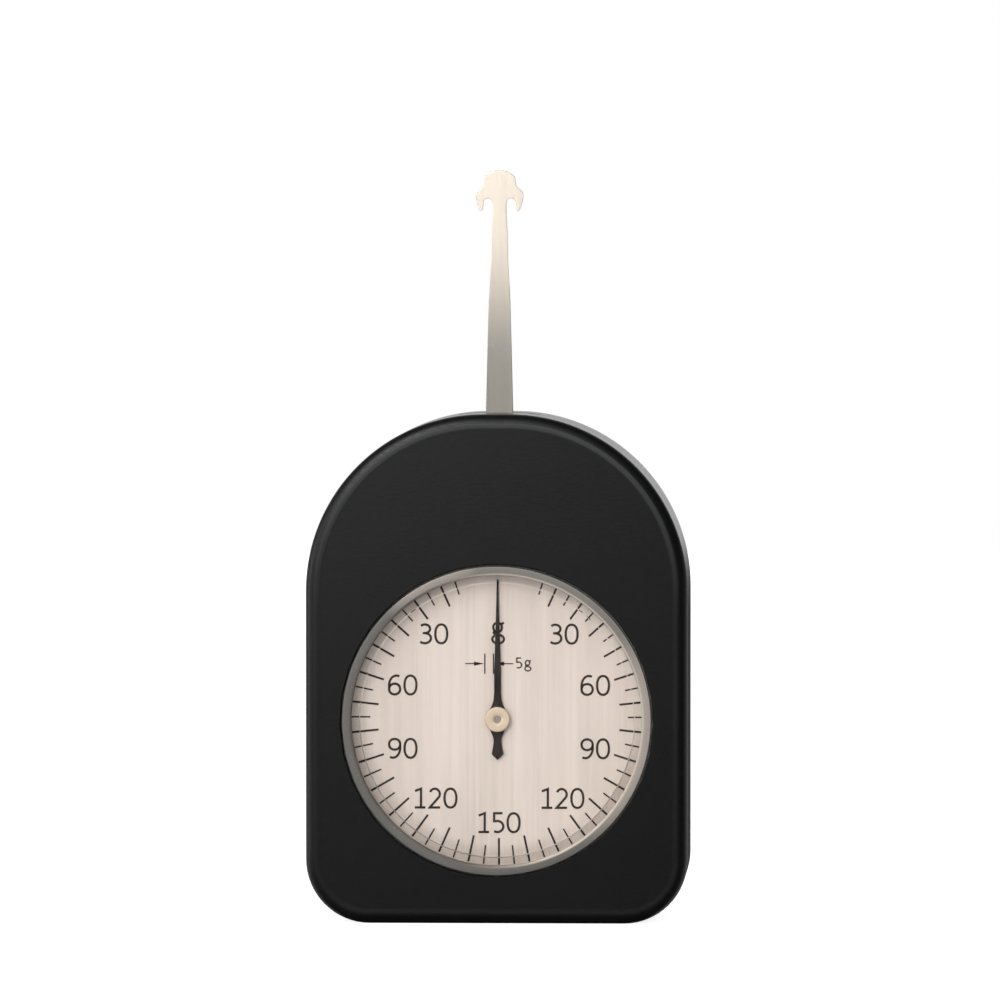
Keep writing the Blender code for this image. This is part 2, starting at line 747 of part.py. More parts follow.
def tooth(teeth, pitch_radius, centre_angle, flank_points=4):
    """One tooth from its right root to its left root, with involute flanks."""
    base_radius = pitch_radius * math.cos(pressure_angle)
    low = max(base_radius, pitch_radius - dedendum)
    half_angle = math.pi / (2 * teeth) - backlash / (4 * pitch_radius)
    involute_angle = math.tan(pressure_angle) - pressure_angle
    start = half_angle + involute_angle
    radii = np.linspace(low, pitch_radius + addendum, flank_points)
    flank = [involute_point(base_radius, radius, -start) for radius in radii]
    if low > pitch_radius - dedendum:
        root = pitch_radius - dedendum
        flank.insert(0, (root * math.cos(start), -root * math.sin(start)))
    points = flank + [(x, -y) for x, y in reversed(flank)]
    cosine, sine = math.cos(centre_angle), math.sin(centre_angle)
    return [(x * cosine - y * sine, x * sine + y * cosine) for x, y in points]


def pinion_outline():
    loop = []
    for number in range(pinion_teeth):
        loop += tooth(pinion_teeth, pinion_pitch_radius,
                      math.pi / 2 + (number + 0.5) * 2 * math.pi / pinion_teeth)
    return loop


def sector_loops():
    """The toothed sector: teeth on its lower rim, a tapering web with two windows and a round eye."""
    down = -math.pi / 2
    step = 2 * math.pi / wheel_teeth
    loop = []
    for number in range(-sector_half_teeth, sector_half_teeth + 1):
        loop += tooth(wheel_teeth, wheel_pitch_radius, down + number * step, 3)
    root = wheel_pitch_radius - dedendum
    end_angle = down + (sector_half_teeth + sector_end_share) * step
    rim_radius_inner = root - sector_rim_width
    loop.append((root * math.cos(end_angle), root * math.sin(end_angle)))
    loop.append((rim_radius_inner * math.cos(end_angle), rim_radius_inner * math.sin(end_angle)))
    web = sector_web_width / 2
    rim_corner_up = -math.sqrt(rim_radius_inner ** 2 - web ** 2)
    loop += arc(0, 0, rim_radius_inner, end_angle,
                math.atan2(rim_corner_up, web), ARC_STEPS)[1:]
    eye_angle = math.asin(web * sector_eye_share / sector_eye_radius)
    loop += arc(0, 0, sector_eye_radius, down + eye_angle, math.pi / 2, 2 * ARC_STEPS)
    right = loop[len(loop) - 3 * ARC_STEPS - 3:]
    left = [(-x, y) for x, y in reversed(right[:-1])]
    return loop + left


def sector_gear():
    loops = [sector_loops(), circle(lever_hub_radius + rest_gap, ROUND_STEPS)]
    loops += holes(both_sides((lever_screw_out, 0.0)), lever_screw_radius + rest_gap)
    loops += [circle(balance_rivet_radius + rest_gap, SMALL_STEPS, 0.0, -balance_arm)]
    return flat_piece("sector_gear", loops, sector_back, sector_front, yellow_brass, 0.0, pivot_up)


# Lever and its hub

def lever_outline():
    """The right half of the strip from its round eye up to the double hook, then mirrored."""
    foot_up = pivot_up + lever_eye_radius
    meet = math.acos(lever_half_width(foot_up) / lever_eye_radius)
    half = arc(0, pivot_up, lever_eye_radius, -math.pi / 2, meet, 2 * ARC_STEPS)[1:]
    half.append((lever_knee_width / 2, lever_knee_up))
    half.append((lever_waist_width / 2, lever_waist_up))
    half.append((lever_neck_width / 2, lever_neck_up))
    notch_out = lever_throat_width / 2 + notch_radius
    notch_up = notch_top_up - notch_radius
    half += arc(notch_out, notch_up, notch_radius, math.pi, 0, ARC_STEPS)
    half.append((hook_inner_out + hook_edge, hook_tip_up + hook_edge))
    half.append((hook_tip_out, hook_tip_up))
    half.append((hook_outer_out, hook_outer_up))
    half.append((shoulder_out, shoulder_up))
    half.append((head_side_out + head_edge, head_side_up))
    half.append((head_side_out, head_side_up + hook_edge))
    half.append((head_corner_out, head_corner_up))
    rise = head_top_up - head_corner_up
    crown_radius = (head_corner_out ** 2 + rise ** 2) / (2 * rise)
    crown_angle = math.asin(head_corner_out / crown_radius)
    half += arc(0, head_top_up - crown_radius, crown_radius, math.pi / 2 - crown_angle,
                math.pi / 2, ARC_STEPS)[1:-1]
    half.append((0, head_top_up))
    whole = [(0, pivot_up - lever_eye_radius)] + half
    return whole + [(-x, y) for x, y in reversed(half[:-1])]


def feeler_lever():
    loops = [lever_outline(), circle(lever_hub_radius + rest_gap, ROUND_STEPS, 0.0, pivot_up)]
    loops += holes(both_sides((lever_screw_out, pivot_up)), lever_screw_radius + rest_gap)
    return flat_piece("feeler_lever", loops, lever_back, lever_front, bright_steel)


def lever_hub():
    """A turned hub with a flange behind the lever, and two screw holes through the flange."""
    bore = lever_arbor_radius + rest_gap
    barrel_front = sector_front + rest_gap
    profile = [(lever_hub_radius, barrel_front), (lever_hub_radius, hub_flange_front),
               (lever_flange_radius, hub_flange_front), (lever_flange_radius, hub_flange_back),
               (bore, hub_flange_back), (bore, barrel_front)]
    obj = turned("lever_hub", profile, pale_brass, 0.0, pivot_up, 0.0, ROUND_STEPS, bored=True)
    for number, (out, up) in enumerate(both_sides((lever_screw_out, pivot_up)), 1):
        boolean(obj, peg(f"hub_hole_{number}", lever_screw_radius + rest_gap,
                         hub_flange_back - cut_overrun, hub_flange_front + rest_gap / 2, out, up))
    return obj


def lever_screw(number, out, up):
    head_back = sector_front + rest_gap
    head_front = head_back + lever_screw_head_height
    tip = hub_flange_back + rest_gap
    profile = [(0, head_front), (lever_screw_head_radius, head_front),
               (lever_screw_head_radius, head_back), (lever_screw_radius, head_back),
               (lever_screw_radius, tip), (0, tip)]
    obj = turned(f"lever_screw_{number}", profile, bright_steel, 0.0, up, out, SMALL_STEPS)
    size = (4 * lever_screw_head_radius, lever_screw_head_height, screw_slot_width / 2)
    boolean(obj, block(f"lever_screw_slot_{number}", size, (out, -head_front, up)))
    return obj


def lever_spacer():
    loops = [circle(lever_flange_radius, ROUND_STEPS), circle(lever_hub_radius + rest_gap, ROUND_STEPS)]
    loops += holes(both_sides((lever_screw_out, 0.0)), lever_screw_radius + rest_gap)
    return flat_piece("lever_spacer", loops, spacer_ring_back, spacer_ring_front, pale_brass, 0.0,
                      pivot_up)


def lever_arbor():
    """A stepped shaft whose thin pivots run in the two bushes."""
    shoulder_front = front_plate_back - rest_gap - bush_flange_thickness - rest_gap
    shoulder_back = back_plate_front + rest_gap + bush_flange_thickness + rest_gap
    tip_front = front_plate_front - rest_gap
    tip_back = back_plate_back + rest_gap
    profile = [(0, tip_front), (lever_pivot_radius, tip_front), (lever_pivot_radius, shoulder_front),
               (lever_arbor_radius, shoulder_front), (lever_arbor_radius, shoulder_back),
               (lever_pivot_radius, shoulder_back), (lever_pivot_radius, tip_back), (0, tip_back)]
    return turned("lever_arbor", profile, bright_steel, 0.0, pivot_up, 0.0, ROUND_STEPS)


def balance_weight():
    """A disc riveted behind the sector's web, which balances the long feeler."""
    front = sector_back - rest_gap
    back = front - balance_thickness
    rivet_front = sector_front - rest_gap / 2
    profile = [(0, rivet_front), (balance_rivet_radius, rivet_front), (balance_rivet_radius, front),
               (balance_radius, front), (balance_radius, back), (0, back)]
    return turned("balance_weight", profile, yellow_brass, 0.0, pivot_up - balance_arm, 0.0,
                  ROUND_STEPS)


def collet(name, radius, bore, low, high, up):
    loops = [circle(radius, ROUND_STEPS), circle(bore, ROUND_STEPS)]
    return flat_piece(name, loops, low, high, pale_brass, 0.0, up)


# Pointer

def pinion_arbor():
    """The pointer's shaft with its pinion leaves cut on it, one piece."""
    shoulder_front = front_plate_back - rest_gap - bush_flange_thickness - rest_gap
    shoulder_back = back_plate_front + rest_gap + bush_flange_thickness + rest_gap
    body = pointer_neck_radius + rest_gap
    tip_front = hub_cap_front
    neck_front = dial_front + rest_gap / 2
    tip_back = back_plate_back + rest_gap
    profile = [(0, tip_front), (pointer_tip_radius, tip_front), (pointer_tip_radius, neck_front),
               (pointer_neck_radius, neck_front), (pointer_neck_radius, shoulder_front),
               (body, shoulder_front), (body, pinion_back - rest_gap),
               (pointer_neck_radius, pinion_back - rest_gap), (pointer_neck_radius, shoulder_back),
               (pointer_pivot_radius, shoulder_back), (pointer_pivot_radius, tip_back), (0, tip_back)]
    obj = turned("pinion_arbor", profile, bright_steel, 0.0, dial_up, 0.0, ROUND_STEPS)
    leaves = flat_piece("pinion_leaves", [pinion_outline()], pinion_back, pinion_front, None, 0.0,
                        dial_up, cutter=True)
    boolean(obj, leaves, "UNION")
    return obj


def pointer():
    """A thin blade that tapers to its tip, with a spade-shaped tail."""
    eye = arc(0, 0, pointer_eye_radius, pointer_eye_low, pointer_eye_high, ARC_STEPS)
    half = [(0, -pointer_tail_length),
            (pointer_tail_width / 2, -pointer_tail_length + pointer_tail_width / 2),
            (pointer_tail_neck / 2, -pointer_tail_length + pointer_tail_width * pointer_tail_share)]
    half += eye
    half += [(pointer_root_width / 2, pointer_length * pointer_root_share),
             (pointer_middle_width / 2, pointer_length * pointer_middle_share),
             (pointer_tip_width / 2, pointer_length)]
    loops = [half + [(-x, y) for x, y in reversed(half) if x > 0]]
    loops += [circle(pointer_eye_bore, ROUND_STEPS)]
    return flat_piece("pointer", loops, pointer_back, pointer_front, dark_steel, 0.0, dial_up)


def pointer_hub():
    bore = pointer_tip_radius + rest_gap / 2
    barrel_back = pointer_back
    profile = [(hub_cap_radius - hub_chamfer, hub_cap_front), (hub_cap_radius, hub_cap_front - hub_chamfer),
               (hub_cap_radius, hub_cap_back), (hub_barrel_radius, hub_cap_back),
               (hub_barrel_radius, barrel_back), (bore, barrel_back), (bore, hub_cap_front)]
    return turned("pointer_hub", profile, pale_brass, 0.0, dial_up, 0.0, ROUND_STEPS, bored=True)


# Building it all

def joint_axis(name, up, children):
    """An empty on a joint's axis, which carries the pieces that turn about it."""
    empty = bpy.data.objects.new(name, None)
    empty.empty_display_size = case_depth / 4
    empty.location = (0, 0, up)
    pieces.objects.link(empty)
    bpy.context.view_layer.update()
    for child in children:
        world = child.matrix_world.copy()
        child.parent = empty
        child.matrix_world = world


front_case()
rear_case()
bezel_ring()
window_lens()
flat_ring("lens_gasket", gasket_inner_radius, stack_radius, gasket_back, gasket_front, black_rubber)
flat_ring("dial_spacer", gasket_inner_radius, stack_radius, spacer_back, spacer_front, satin_ring)
dial_plate()
movement_plates()
for index, (pillar_out, pillar_up) in enumerate(pillars, 1):
    pillar(index, pillar_out, pillar_up)
    pillar_screw(index, pillar_out, pillar_up)
bush("lever_bush_front", pivot_up, lever_pivot_radius + pivot_clearance, front_plate_back,
     front_plate_front, -1)
bush("lever_bush_rear", pivot_up, lever_pivot_radius + pivot_clearance, back_plate_back,
     back_plate_front, 1)
bush("pointer_bush_front", dial_up, pointer_neck_radius + pivot_clearance, front_plate_back,
     front_plate_front, -1)
bush("pointer_bush_rear", dial_up, pointer_pivot_radius + pivot_clearance, back_plate_back,
     back_plate_front, 1)
stud("main_spring_stud", main_stud_place, main_stud_radius, main_spring_middle, main_spring_height)
stud("hairspring_stud", hair_stud_place, hair_stud_radius, hairspring_middle, hairspring_height)
stop_pin("stop_pin_left", *stops[0])
stop_pin("stop_pin_right", *stops[1])
springs()
for index, (screw_out, screw_up) in enumerate(case_screws, 1):
    screw(f"case_screw_{index}", screw_out, screw_up, back_face + rest_gap, screw_head_radius,
          front_plate_front + rest_gap + screw_blind_depth, dark_steel)
for index, (screw_out, screw_up) in enumerate(mount_screws, 1):
    screw(f"mount_screw_{index}", screw_out, screw_up,
          front_plate_back - rest_gap - screw_head_height, mount_head_radius,
          front_plate_front + rest_gap + screw_blind_depth, bright_steel)

lever_pieces = [feeler_lever(), lever_hub(), lever_spacer(), lever_arbor(), sector_gear(),
                balance_weight()]
lever_pieces += [lever_screw(index, screw_out, screw_up)
                 for index, (screw_out, screw_up) in enumerate(
                     both_sides((lever_screw_out, pivot_up)), 1)]
lever_pieces.append(collet("main_spring_collet", main_collet_radius, lever_arbor_radius + rest_gap,
                           main_collet_back, main_collet_front, pivot_up))
pointer_pieces = [pinion_arbor(), pointer(), pointer_hub()]
pointer_pieces.append(collet("hairspring_collet", hair_collet_radius, pointer_neck_radius + rest_gap,
                             hair_collet_back, hair_collet_front, dial_up))
joint_axis("lever_axis", pivot_up, lever_pieces)
joint_axis("pointer_axis", dial_up, pointer_pieces)
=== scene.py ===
"""Looks of the dial tension gauge: fine shells, printed dial, window, pointer, feeler and finishes.

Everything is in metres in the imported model's own frame: the dial faces -Y and the feeler points up.
"""
import json
import math

import bmesh
import bpy
import numpy as np
from mathutils import Matrix, Vector


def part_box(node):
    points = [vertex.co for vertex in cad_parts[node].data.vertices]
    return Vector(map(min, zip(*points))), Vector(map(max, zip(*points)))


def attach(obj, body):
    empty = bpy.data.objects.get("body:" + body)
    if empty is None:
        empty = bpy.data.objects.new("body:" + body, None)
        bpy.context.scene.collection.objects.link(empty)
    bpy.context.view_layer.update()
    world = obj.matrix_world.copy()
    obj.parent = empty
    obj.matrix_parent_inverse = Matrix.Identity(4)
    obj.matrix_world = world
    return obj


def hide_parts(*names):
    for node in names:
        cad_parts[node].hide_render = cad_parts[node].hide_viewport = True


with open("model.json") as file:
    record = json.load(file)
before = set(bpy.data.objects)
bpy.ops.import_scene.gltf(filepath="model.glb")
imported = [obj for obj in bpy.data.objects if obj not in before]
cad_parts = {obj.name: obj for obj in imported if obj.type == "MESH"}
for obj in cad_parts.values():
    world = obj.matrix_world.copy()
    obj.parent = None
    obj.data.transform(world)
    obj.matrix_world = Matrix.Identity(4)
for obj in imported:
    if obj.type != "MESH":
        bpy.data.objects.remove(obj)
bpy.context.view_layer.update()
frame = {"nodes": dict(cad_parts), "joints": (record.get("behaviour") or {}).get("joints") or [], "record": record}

MM = 0.001

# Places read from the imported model
front_low, front_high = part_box("front_case")
rear_low, rear_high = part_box("rear_case")
bezel_low, bezel_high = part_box("bezel_ring")
lens_low, lens_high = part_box("window_lens")
dial_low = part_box("dial_plate")[0]
lever_low, lever_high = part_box("feeler_lever")
pointer_low, pointer_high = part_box("pointer")
hub_low, hub_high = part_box("pointer_hub")
plate_low, plate_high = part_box("front_plate")
joints = {joint["name"]: joint for joint in frame["joints"]}
pivot_up = joints["lever_swing"]["pos_m"][2]
dial_up = joints["pointer_spin"]["pos_m"][2]

front_face = front_low.y
back_face = rear_high.y
case_half = front_high.x
case_top = front_high.z
dial_face = dial_low.y

# Case
dome_radius = 0.927 * case_half
dome_centre_up = case_top - dome_radius
corner_radius = 10.0 * MM
side_wall = 2.0 * MM
front_wall = 1.5 * MM
rear_wall = 2.0 * MM
rim_radius = 1.6 * MM
line_width = 0.12 * MM
line_height = 0.03 * MM
line_fade = 0.8 * MM
opening_edge = 0.12 * MM
lip_thickness = 0.8 * MM
lip_height = 1.6 * MM
rest_gap = 0.3 * MM
overrun = 1.0 * MM
post_radius = 2.8 * MM
boss_radius = 2.0 * MM
bore_radius = 1.3 * MM
recess_radius = 2.3 * MM
recess_depth = 1.8 * MM
driver_slot_turn = 35
slot_half_width = 6.43 * MM
slot_half_depth = 1.1 * MM
# Heights on the case for the enamel: the raised line's painted highlight grows between the first and the third,
# and the side walls turn from dull to glossy between the first and the second.
line_highlight_and_polish_from = 46 * MM
dull_to = 62 * MM
line_highlight_to = 78 * MM

# Window, dial and lever
ring_outer = 24.25 * MM
ring_inner = 22.83 * MM
crystal_step = 21.55 * MM
crystal_wall = 0.13 * MM
shade_from = 19.3 * MM
shade_to = 21.3 * MM
lever_knee_up = 97.7 * MM
lever_knee_half = 1.71 * MM
lever_taper = 0.0263
# Heights of the feeler's painted light: painted shade below the first, painted light above the second.
lever_painted_shade_to = case_top + 7 * MM
lever_painted_light_from = case_top + 30 * MM
print_shift = 0.2 * MM
print_up = dial_up + 0.3 * MM
ink_height = 0.02 * MM
degrees_per_gram = 180 / 150
mark_end_radius = 23.3 * MM
long_mark_radius = 19.07 * MM
short_mark_radius = 20.3 * MM
long_mark_width = 0.33 * MM
short_mark_width = 0.25 * MM
figure_height = 3.34 * MM
figure_stroke = 0.38 * MM
NUMBER_PLACES = [("30", 10.27 * MM, 13.1 * MM), ("60", 15.17 * MM, 5.03 * MM),
                 ("90", 15.17 * MM, -4.96 * MM), ("120", 10.0 * MM, -12.8 * MM),
                 ("150", 0.0, -16.65 * MM)]

# Light and camera
even_light = (0.55, 0.55, 0.55)
front_dimness = (0.04, 0.04, 0.04)
floor_glow = 0.82
floor_front = -0.0115
floor_size = 1.5
sun_strength = 1.8
sun_width = 28
sun_place = (-0.15, -1.0, 0.17)
sheen_power = 0.95
sheen_size = 0.12
sheen_place = (-0.125, -0.29, 0.22)
sheen_aim = (-0.01, -0.013, 0.06)
rim_power = 1.2
rim_size = 0.3
rim_place = (-0.60, -0.12, 0.10)
rim_aim = (0.0, 0.0, 0.05)
camera_place = (0.0620, -1.50, 0.116)
camera_aim = (0.0006, -0.013, 0.0666)
camera_lens = 342.0

CORNER_STEPS = 16
DOME_STEPS = 56
RIM_STEPS = 8
FADE_STEPS = 4
TURN_STEPS = 192
HOLE_STEPS = 40
SMALL_STEPS = 24


# Meshes

looks = bpy.data.collections.new("gauge_looks")
bpy.context.scene.collection.children.link(looks)


def show(name, mesh, material, body, replaced=(), smooth=30):
    """Link a finished mesh, shade it, give it its finish and let it ride on its body."""
    obj = bpy.data.objects.new(name, mesh)
    looks.objects.link(obj)
    mesh.materials.clear()
    mesh.materials.append(material)
    mesh.shade_smooth()
    mesh.set_sharp_from_angle(angle=math.radians(smooth))
    weighted = obj.modifiers.new("even shading", "WEIGHTED_NORMAL")
    weighted.keep_sharp = True
    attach(obj, body)
    if replaced:
        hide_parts(*replaced)
    return obj


def mesh_from(shape, name):
    bmesh.ops.recalc_face_normals(shape, faces=shape.faces)
    mesh = bpy.data.meshes.new(name)
    shape.to_mesh(mesh)
    shape.free()
    return mesh


def loft(name, rings, capped=False):
    """Skin over rings of equally many points, joined end to end, or capped at both ends."""
    shape = bmesh.new()
    loops = [[shape.verts.new(point) for point in ring] for ring in rings]
    pairs = list(zip(loops, loops[1:]))
    if capped:
        shape.faces.new(loops[0])
        shape.faces.new(loops[-1])
    else:
        pairs.append((loops[-1], loops[0]))
    for first, second in pairs:
        count = len(first)
        for step in range(count):
            after = (step + 1) % count
            shape.faces.new((first[step], first[after], second[after], second[step]))
    return mesh_from(shape, name)


def turned(name, profile, up, steps=TURN_STEPS, out=0.0):
    """A mesh turned about a line along Y from (radius, y) points, closed unless it meets the axis."""
    shape = bmesh.new()
    rings = []
    for radius, depth in profile:
        if radius == 0:
            rings.append([shape.verts.new((out, depth, up))])
            continue
        angles = [2 * math.pi * step / steps for step in range(steps)]
        rings.append([shape.verts.new((out + radius * math.sin(a), depth, up + radius * math.cos(a)))
                      for a in angles])
    pairs = list(zip(rings, rings[1:]))
    if len(rings[0]) > 1 and len(rings[-1]) > 1:
        pairs.append((rings[-1], rings[0]))
    for first, second in pairs:
        for step in range(steps):
            after = (step + 1) % steps
            if len(first) == 1:
                shape.faces.new((first[0], second[step], second[after]))
            elif len(second) == 1:
                shape.faces.new((first[step], second[0], first[after]))
            else:
                shape.faces.new((first[step], second[step], second[after], first[after]))
    return mesh_from(shape, name)


def flat(name, loops, low, high, edge=0.0, edge_steps=2):
    """A flat piece between two depths in Y, with its outline's edges broken by a small bevel."""
    curve = bpy.data.curves.new(name, "CURVE")
    curve.dimensions = "2D"
    curve.fill_mode = "BOTH"
    curve.extrude = (high - low) / 2 - edge
    curve.bevel_depth = edge
    curve.bevel_resolution = edge_steps
    curve.offset = -edge
    for loop in loops:
        spline = curve.splines.new("POLY")
        spline.points.add(len(loop) - 1)
        for point, (x, y) in zip(spline.points, loop):
            point.co = (x, y, 0, 1)
        spline.use_cyclic_u = True
    drawn = bpy.data.objects.new(name, curve)
    looks.objects.link(drawn)
    bpy.context.view_layer.update()
    mesh = bpy.data.meshes.new_from_object(drawn.evaluated_get(bpy.context.evaluated_depsgraph_get()))
    bpy.data.objects.remove(drawn, do_unlink=True)
    bpy.data.curves.remove(curve)
    shape = bmesh.new()
    shape.from_mesh(mesh)
    bmesh.ops.remove_doubles(shape, verts=shape.verts, dist=0.0005 * MM)
    upright = Matrix.Translation((0, (low + high) / 2, 0)) @ Matrix.Rotation(math.pi / 2, 4, "X")
    bmesh.ops.transform(shape, matrix=upright, verts=shape.verts)
    bpy.data.meshes.remove(mesh)
    return mesh_from(shape, name)


def arc(x, y, radius, start, end, steps):
    angles = np.linspace(start, end, steps + 1)
    return [(x + radius * math.cos(a), y + radius * math.sin(a)) for a in angles]


def circle(radius, x=0.0, y=0.0, steps=HOLE_STEPS):
    return arc(x, y, radius, 0, 2 * math.pi, steps)[:-1]


def in_mm(points):
    return [(x * MM, y * MM) for x, y in points]


def mirrored(half):
    return half + [(-x, y) for x, y in reversed(half) if x > 0]


def combine(obj, mesh, operation):
    """Cut a mesh out of an object, or join it on, for good."""
    helper = bpy.data.objects.new("helper", mesh)
    looks.objects.link(helper)
    modifier = obj.modifiers.new("cut", "BOOLEAN")
    modifier.operation = operation
    modifier.solver = "EXACT"
    modifier.object = helper
    obj.modifiers["even shading"].show_viewport = False
    bpy.context.view_layer.update()
    result = bpy.data.meshes.new_from_object(obj.evaluated_get(bpy.context.evaluated_depsgraph_get()))
    obj.modifiers.remove(modifier)
    obj.modifiers["even shading"].show_viewport = True
    result.shade_smooth()
    result.set_sharp_from_angle(angle=math.radians(30))
    obj.data = result
    bpy.data.objects.remove(helper, do_unlink=True)


# Shaders

def link(tree, source, target):
    tree.links.new(source, target)


def node(tree, kind, **values):
    made = tree.nodes.new(kind)
    for name, value in values.items():
        setattr(made, name, value)
    return made


def group(name, inputs, outputs):
    """A new node group with float or colour sockets, and its input and output nodes."""
    tree = bpy.data.node_groups.new(name, "ShaderNodeTree")
    for socket, value in inputs:
        made = tree.interface.new_socket(socket, in_out="INPUT", socket_type="NodeSocketFloat")
        made.default_value = value
    for socket, kind in outputs:
        tree.interface.new_socket(socket, in_out="OUTPUT", socket_type=kind)
    return tree, tree.nodes.new("NodeGroupInput"), tree.nodes.new("NodeGroupOutput")


def noise(tree, coordinate, scale, detail=4.0, roughness=0.55, stretch=None):
    """A noise texture in object space, stretched along the axes where a stretch is given."""
    texture = node(tree, "ShaderNodeTexNoise")
    texture.inputs["Detail"].default_value = detail
    texture.inputs["Roughness"].default_value = roughness
    if stretch:
        mapping = node(tree, "ShaderNodeMapping")
        mapping.inputs["Scale"].default_value = stretch
        link(tree, coordinate, mapping.inputs["Vector"])
        coordinate = mapping.outputs["Vector"]
    link(tree, coordinate, texture.inputs["Vector"])
    if isinstance(scale, (int, float)):
        texture.inputs["Scale"].default_value = scale
    else:
        link(tree, scale, texture.inputs["Scale"])
    return texture.outputs["Fac"]


def remap(tree, value, low, high, to_low=0.0, to_high=1.0):
    made = node(tree, "ShaderNodeMapRange")
    made.interpolation_type = "SMOOTHSTEP"
    link(tree, value, made.inputs["Value"])
    ends = {"From Min": low, "From Max": high, "To Min": to_low, "To Max": to_high}
    for socket, number in ends.items():
        made.inputs[socket].default_value = number
    return made.outputs["Result"]


def calculate(tree, operation, first, second):
    made = node(tree, "ShaderNodeMath", operation=operation)
    for socket, value in zip(made.inputs, (first, second)):
        if isinstance(value, (int, float)):
            socket.default_value = value
        else:
            link(tree, value, socket)
    return made.outputs["Value"]


def object_place(tree):
    return node(tree, "ShaderNodeTexCoord").outputs["Object"]


def parts_of(tree, vector):
    """The X, Y and Z of a vector."""
    split = node(tree, "ShaderNodeSeparateXYZ")
    link(tree, vector, split.inputs["Vector"])
    return split.outputs


def mix_colours(tree, factor, first, second, mode="MIX"):
    made = node(tree, "ShaderNodeMix", data_type="RGBA", blend_type=mode)
    for socket, value in ((made.inputs[0], factor), (made.inputs[6], first), (made.inputs[7], second)):
        if isinstance(value, (int, float)):
            socket.default_value = value
        elif isinstance(value, tuple):
            socket.default_value = (*value, 1)
        else:
            link(tree, value, socket)
    return made.outputs[2]


def mix_shaders(tree, factor, first, second):
    made = node(tree, "ShaderNodeMixShader")
    for socket, source in zip(made.inputs, (factor, first, second)):
        link(tree, source, socket)
    return made.outputs["Shader"]


def either_ray(tree, first, second):
    """One where the ray is of either kind, as the Light Path node names them."""
    rays = node(tree, "ShaderNodeLightPath").outputs
    return calculate(tree, "MAXIMUM", rays[first], rays[second])


def handling_wear():
    """Faint smudges, fine specks and hair scratches that every handled surface carries."""
    tree, inputs, outputs = group(
        "handling_wear", [("Size", 1.0)],
        [("Smudge", "NodeSocketFloat"), ("Speck", "NodeSocketFloat"), ("Scratch", "NodeSocketFloat")])
    place = object_place(tree)
    smudge_scale = calculate(tree, "MULTIPLY", inputs.outputs["Size"], 90.0)
    speck_scale = calculate(tree, "MULTIPLY", inputs.outputs["Size"], 2600.0)
    link(tree, remap(tree, noise(tree, place, smudge_scale), 0.35, 0.7), outputs.inputs["Smudge"])
    link(tree, remap(tree, noise(tree, place, speck_scale, 2.0), 0.68, 0.8), outputs.inputs["Speck"])
    long_way = noise(tree, place, 900.0, 3.0, 0.6, (0.06, 1.0, 1.0))
    other_way = noise(tree, place, 700.0, 3.0, 0.6, (1.0, 1.0, 0.05))
    both = calculate(tree, "MULTIPLY", remap(tree, long_way, 0.6, 0.72), remap(tree, other_way, 0.5, 0.7))
    link(tree, both, outputs.inputs["Scratch"])
    return tree


def fine_lines():
    """Parallel grinding or brushing lines along Z, with slow changes of tone between them."""
    tree, inputs, outputs = group("fine_lines", [("Count", 1.0)],
                                  [("Line", "NodeSocketFloat"), ("Band", "NodeSocketFloat")])
    place = object_place(tree)
    scale = calculate(tree, "MULTIPLY", inputs.outputs["Count"], 4200.0)
    link(tree, noise(tree, place, scale, 3.0, 0.7, (1.0, 0.2, 0.012)), outputs.inputs["Line"])
    link(tree, noise(tree, place, 260.0, 3.0, 0.5, (1.0, 0.2, 0.12)), outputs.inputs["Band"])
    return tree


def turning_rings():
    """Concentric tool marks about the dial's own centre."""
    tree, inputs, outputs = group("turning_rings", [("Pitch", 1.0)],
                                  [("Ring", "NodeSocketFloat"), ("Sweep", "NodeSocketFloat")])
    place = object_place(tree)
    offset = node(tree, "ShaderNodeVectorMath", operation="SUBTRACT")
    offset.inputs[1].default_value = (0, 0, dial_up)
    link(tree, place, offset.inputs[0])
    flat_way = node(tree, "ShaderNodeVectorMath", operation="MULTIPLY")
    flat_way.inputs[1].default_value = (1, 0, 1)
    link(tree, offset.outputs["Vector"], flat_way.inputs[0])
    length = node(tree, "ShaderNodeVectorMath", operation="LENGTH")
    link(tree, flat_way.outputs["Vector"], length.inputs[0])
    scaled = calculate(tree, "MULTIPLY", length.outputs["Value"], inputs.outputs["Pitch"])
    spread = node(tree, "ShaderNodeCombineXYZ")
    link(tree, calculate(tree, "MULTIPLY", scaled, 9000.0), spread.inputs["X"])
    link(tree, noise(tree, spread.outputs["Vector"], 1.0, 3.0), outputs.inputs["Ring"])
    link(tree, noise(tree, place, 130.0, 3.0), outputs.inputs["Sweep"])
    return tree


wear_group = handling_wear()
line_group = fine_lines()
ring_group = turning_rings()


def use(tree, made_group, **values):
    made = node(tree, "ShaderNodeGroup", node_tree=made_group)
    for name, value in values.items():
        made.inputs[name].default_value = value
    return made.outputs


def finish(name, metallic, specular=0.5):
    """A material with its Principled shader, and the shader's tree."""
    material = bpy.data.materials.new(name)
    material.use_nodes = True
    tree = material.node_tree
    shader = tree.nodes["Principled BSDF"]
    shader.inputs["Metallic"].default_value = metallic
    shader.inputs["Specular IOR Level"].default_value = specular
    return material, tree, shader


def bump(tree, shader, height, strength, distance):
    made = node(tree, "ShaderNodeBump")
    made.inputs["Strength"].default_value = strength
    made.inputs["Distance"].default_value = distance
    link(tree, height, made.inputs["Height"])
    link(tree, made.outputs["Normal"], shader.inputs["Normal"])


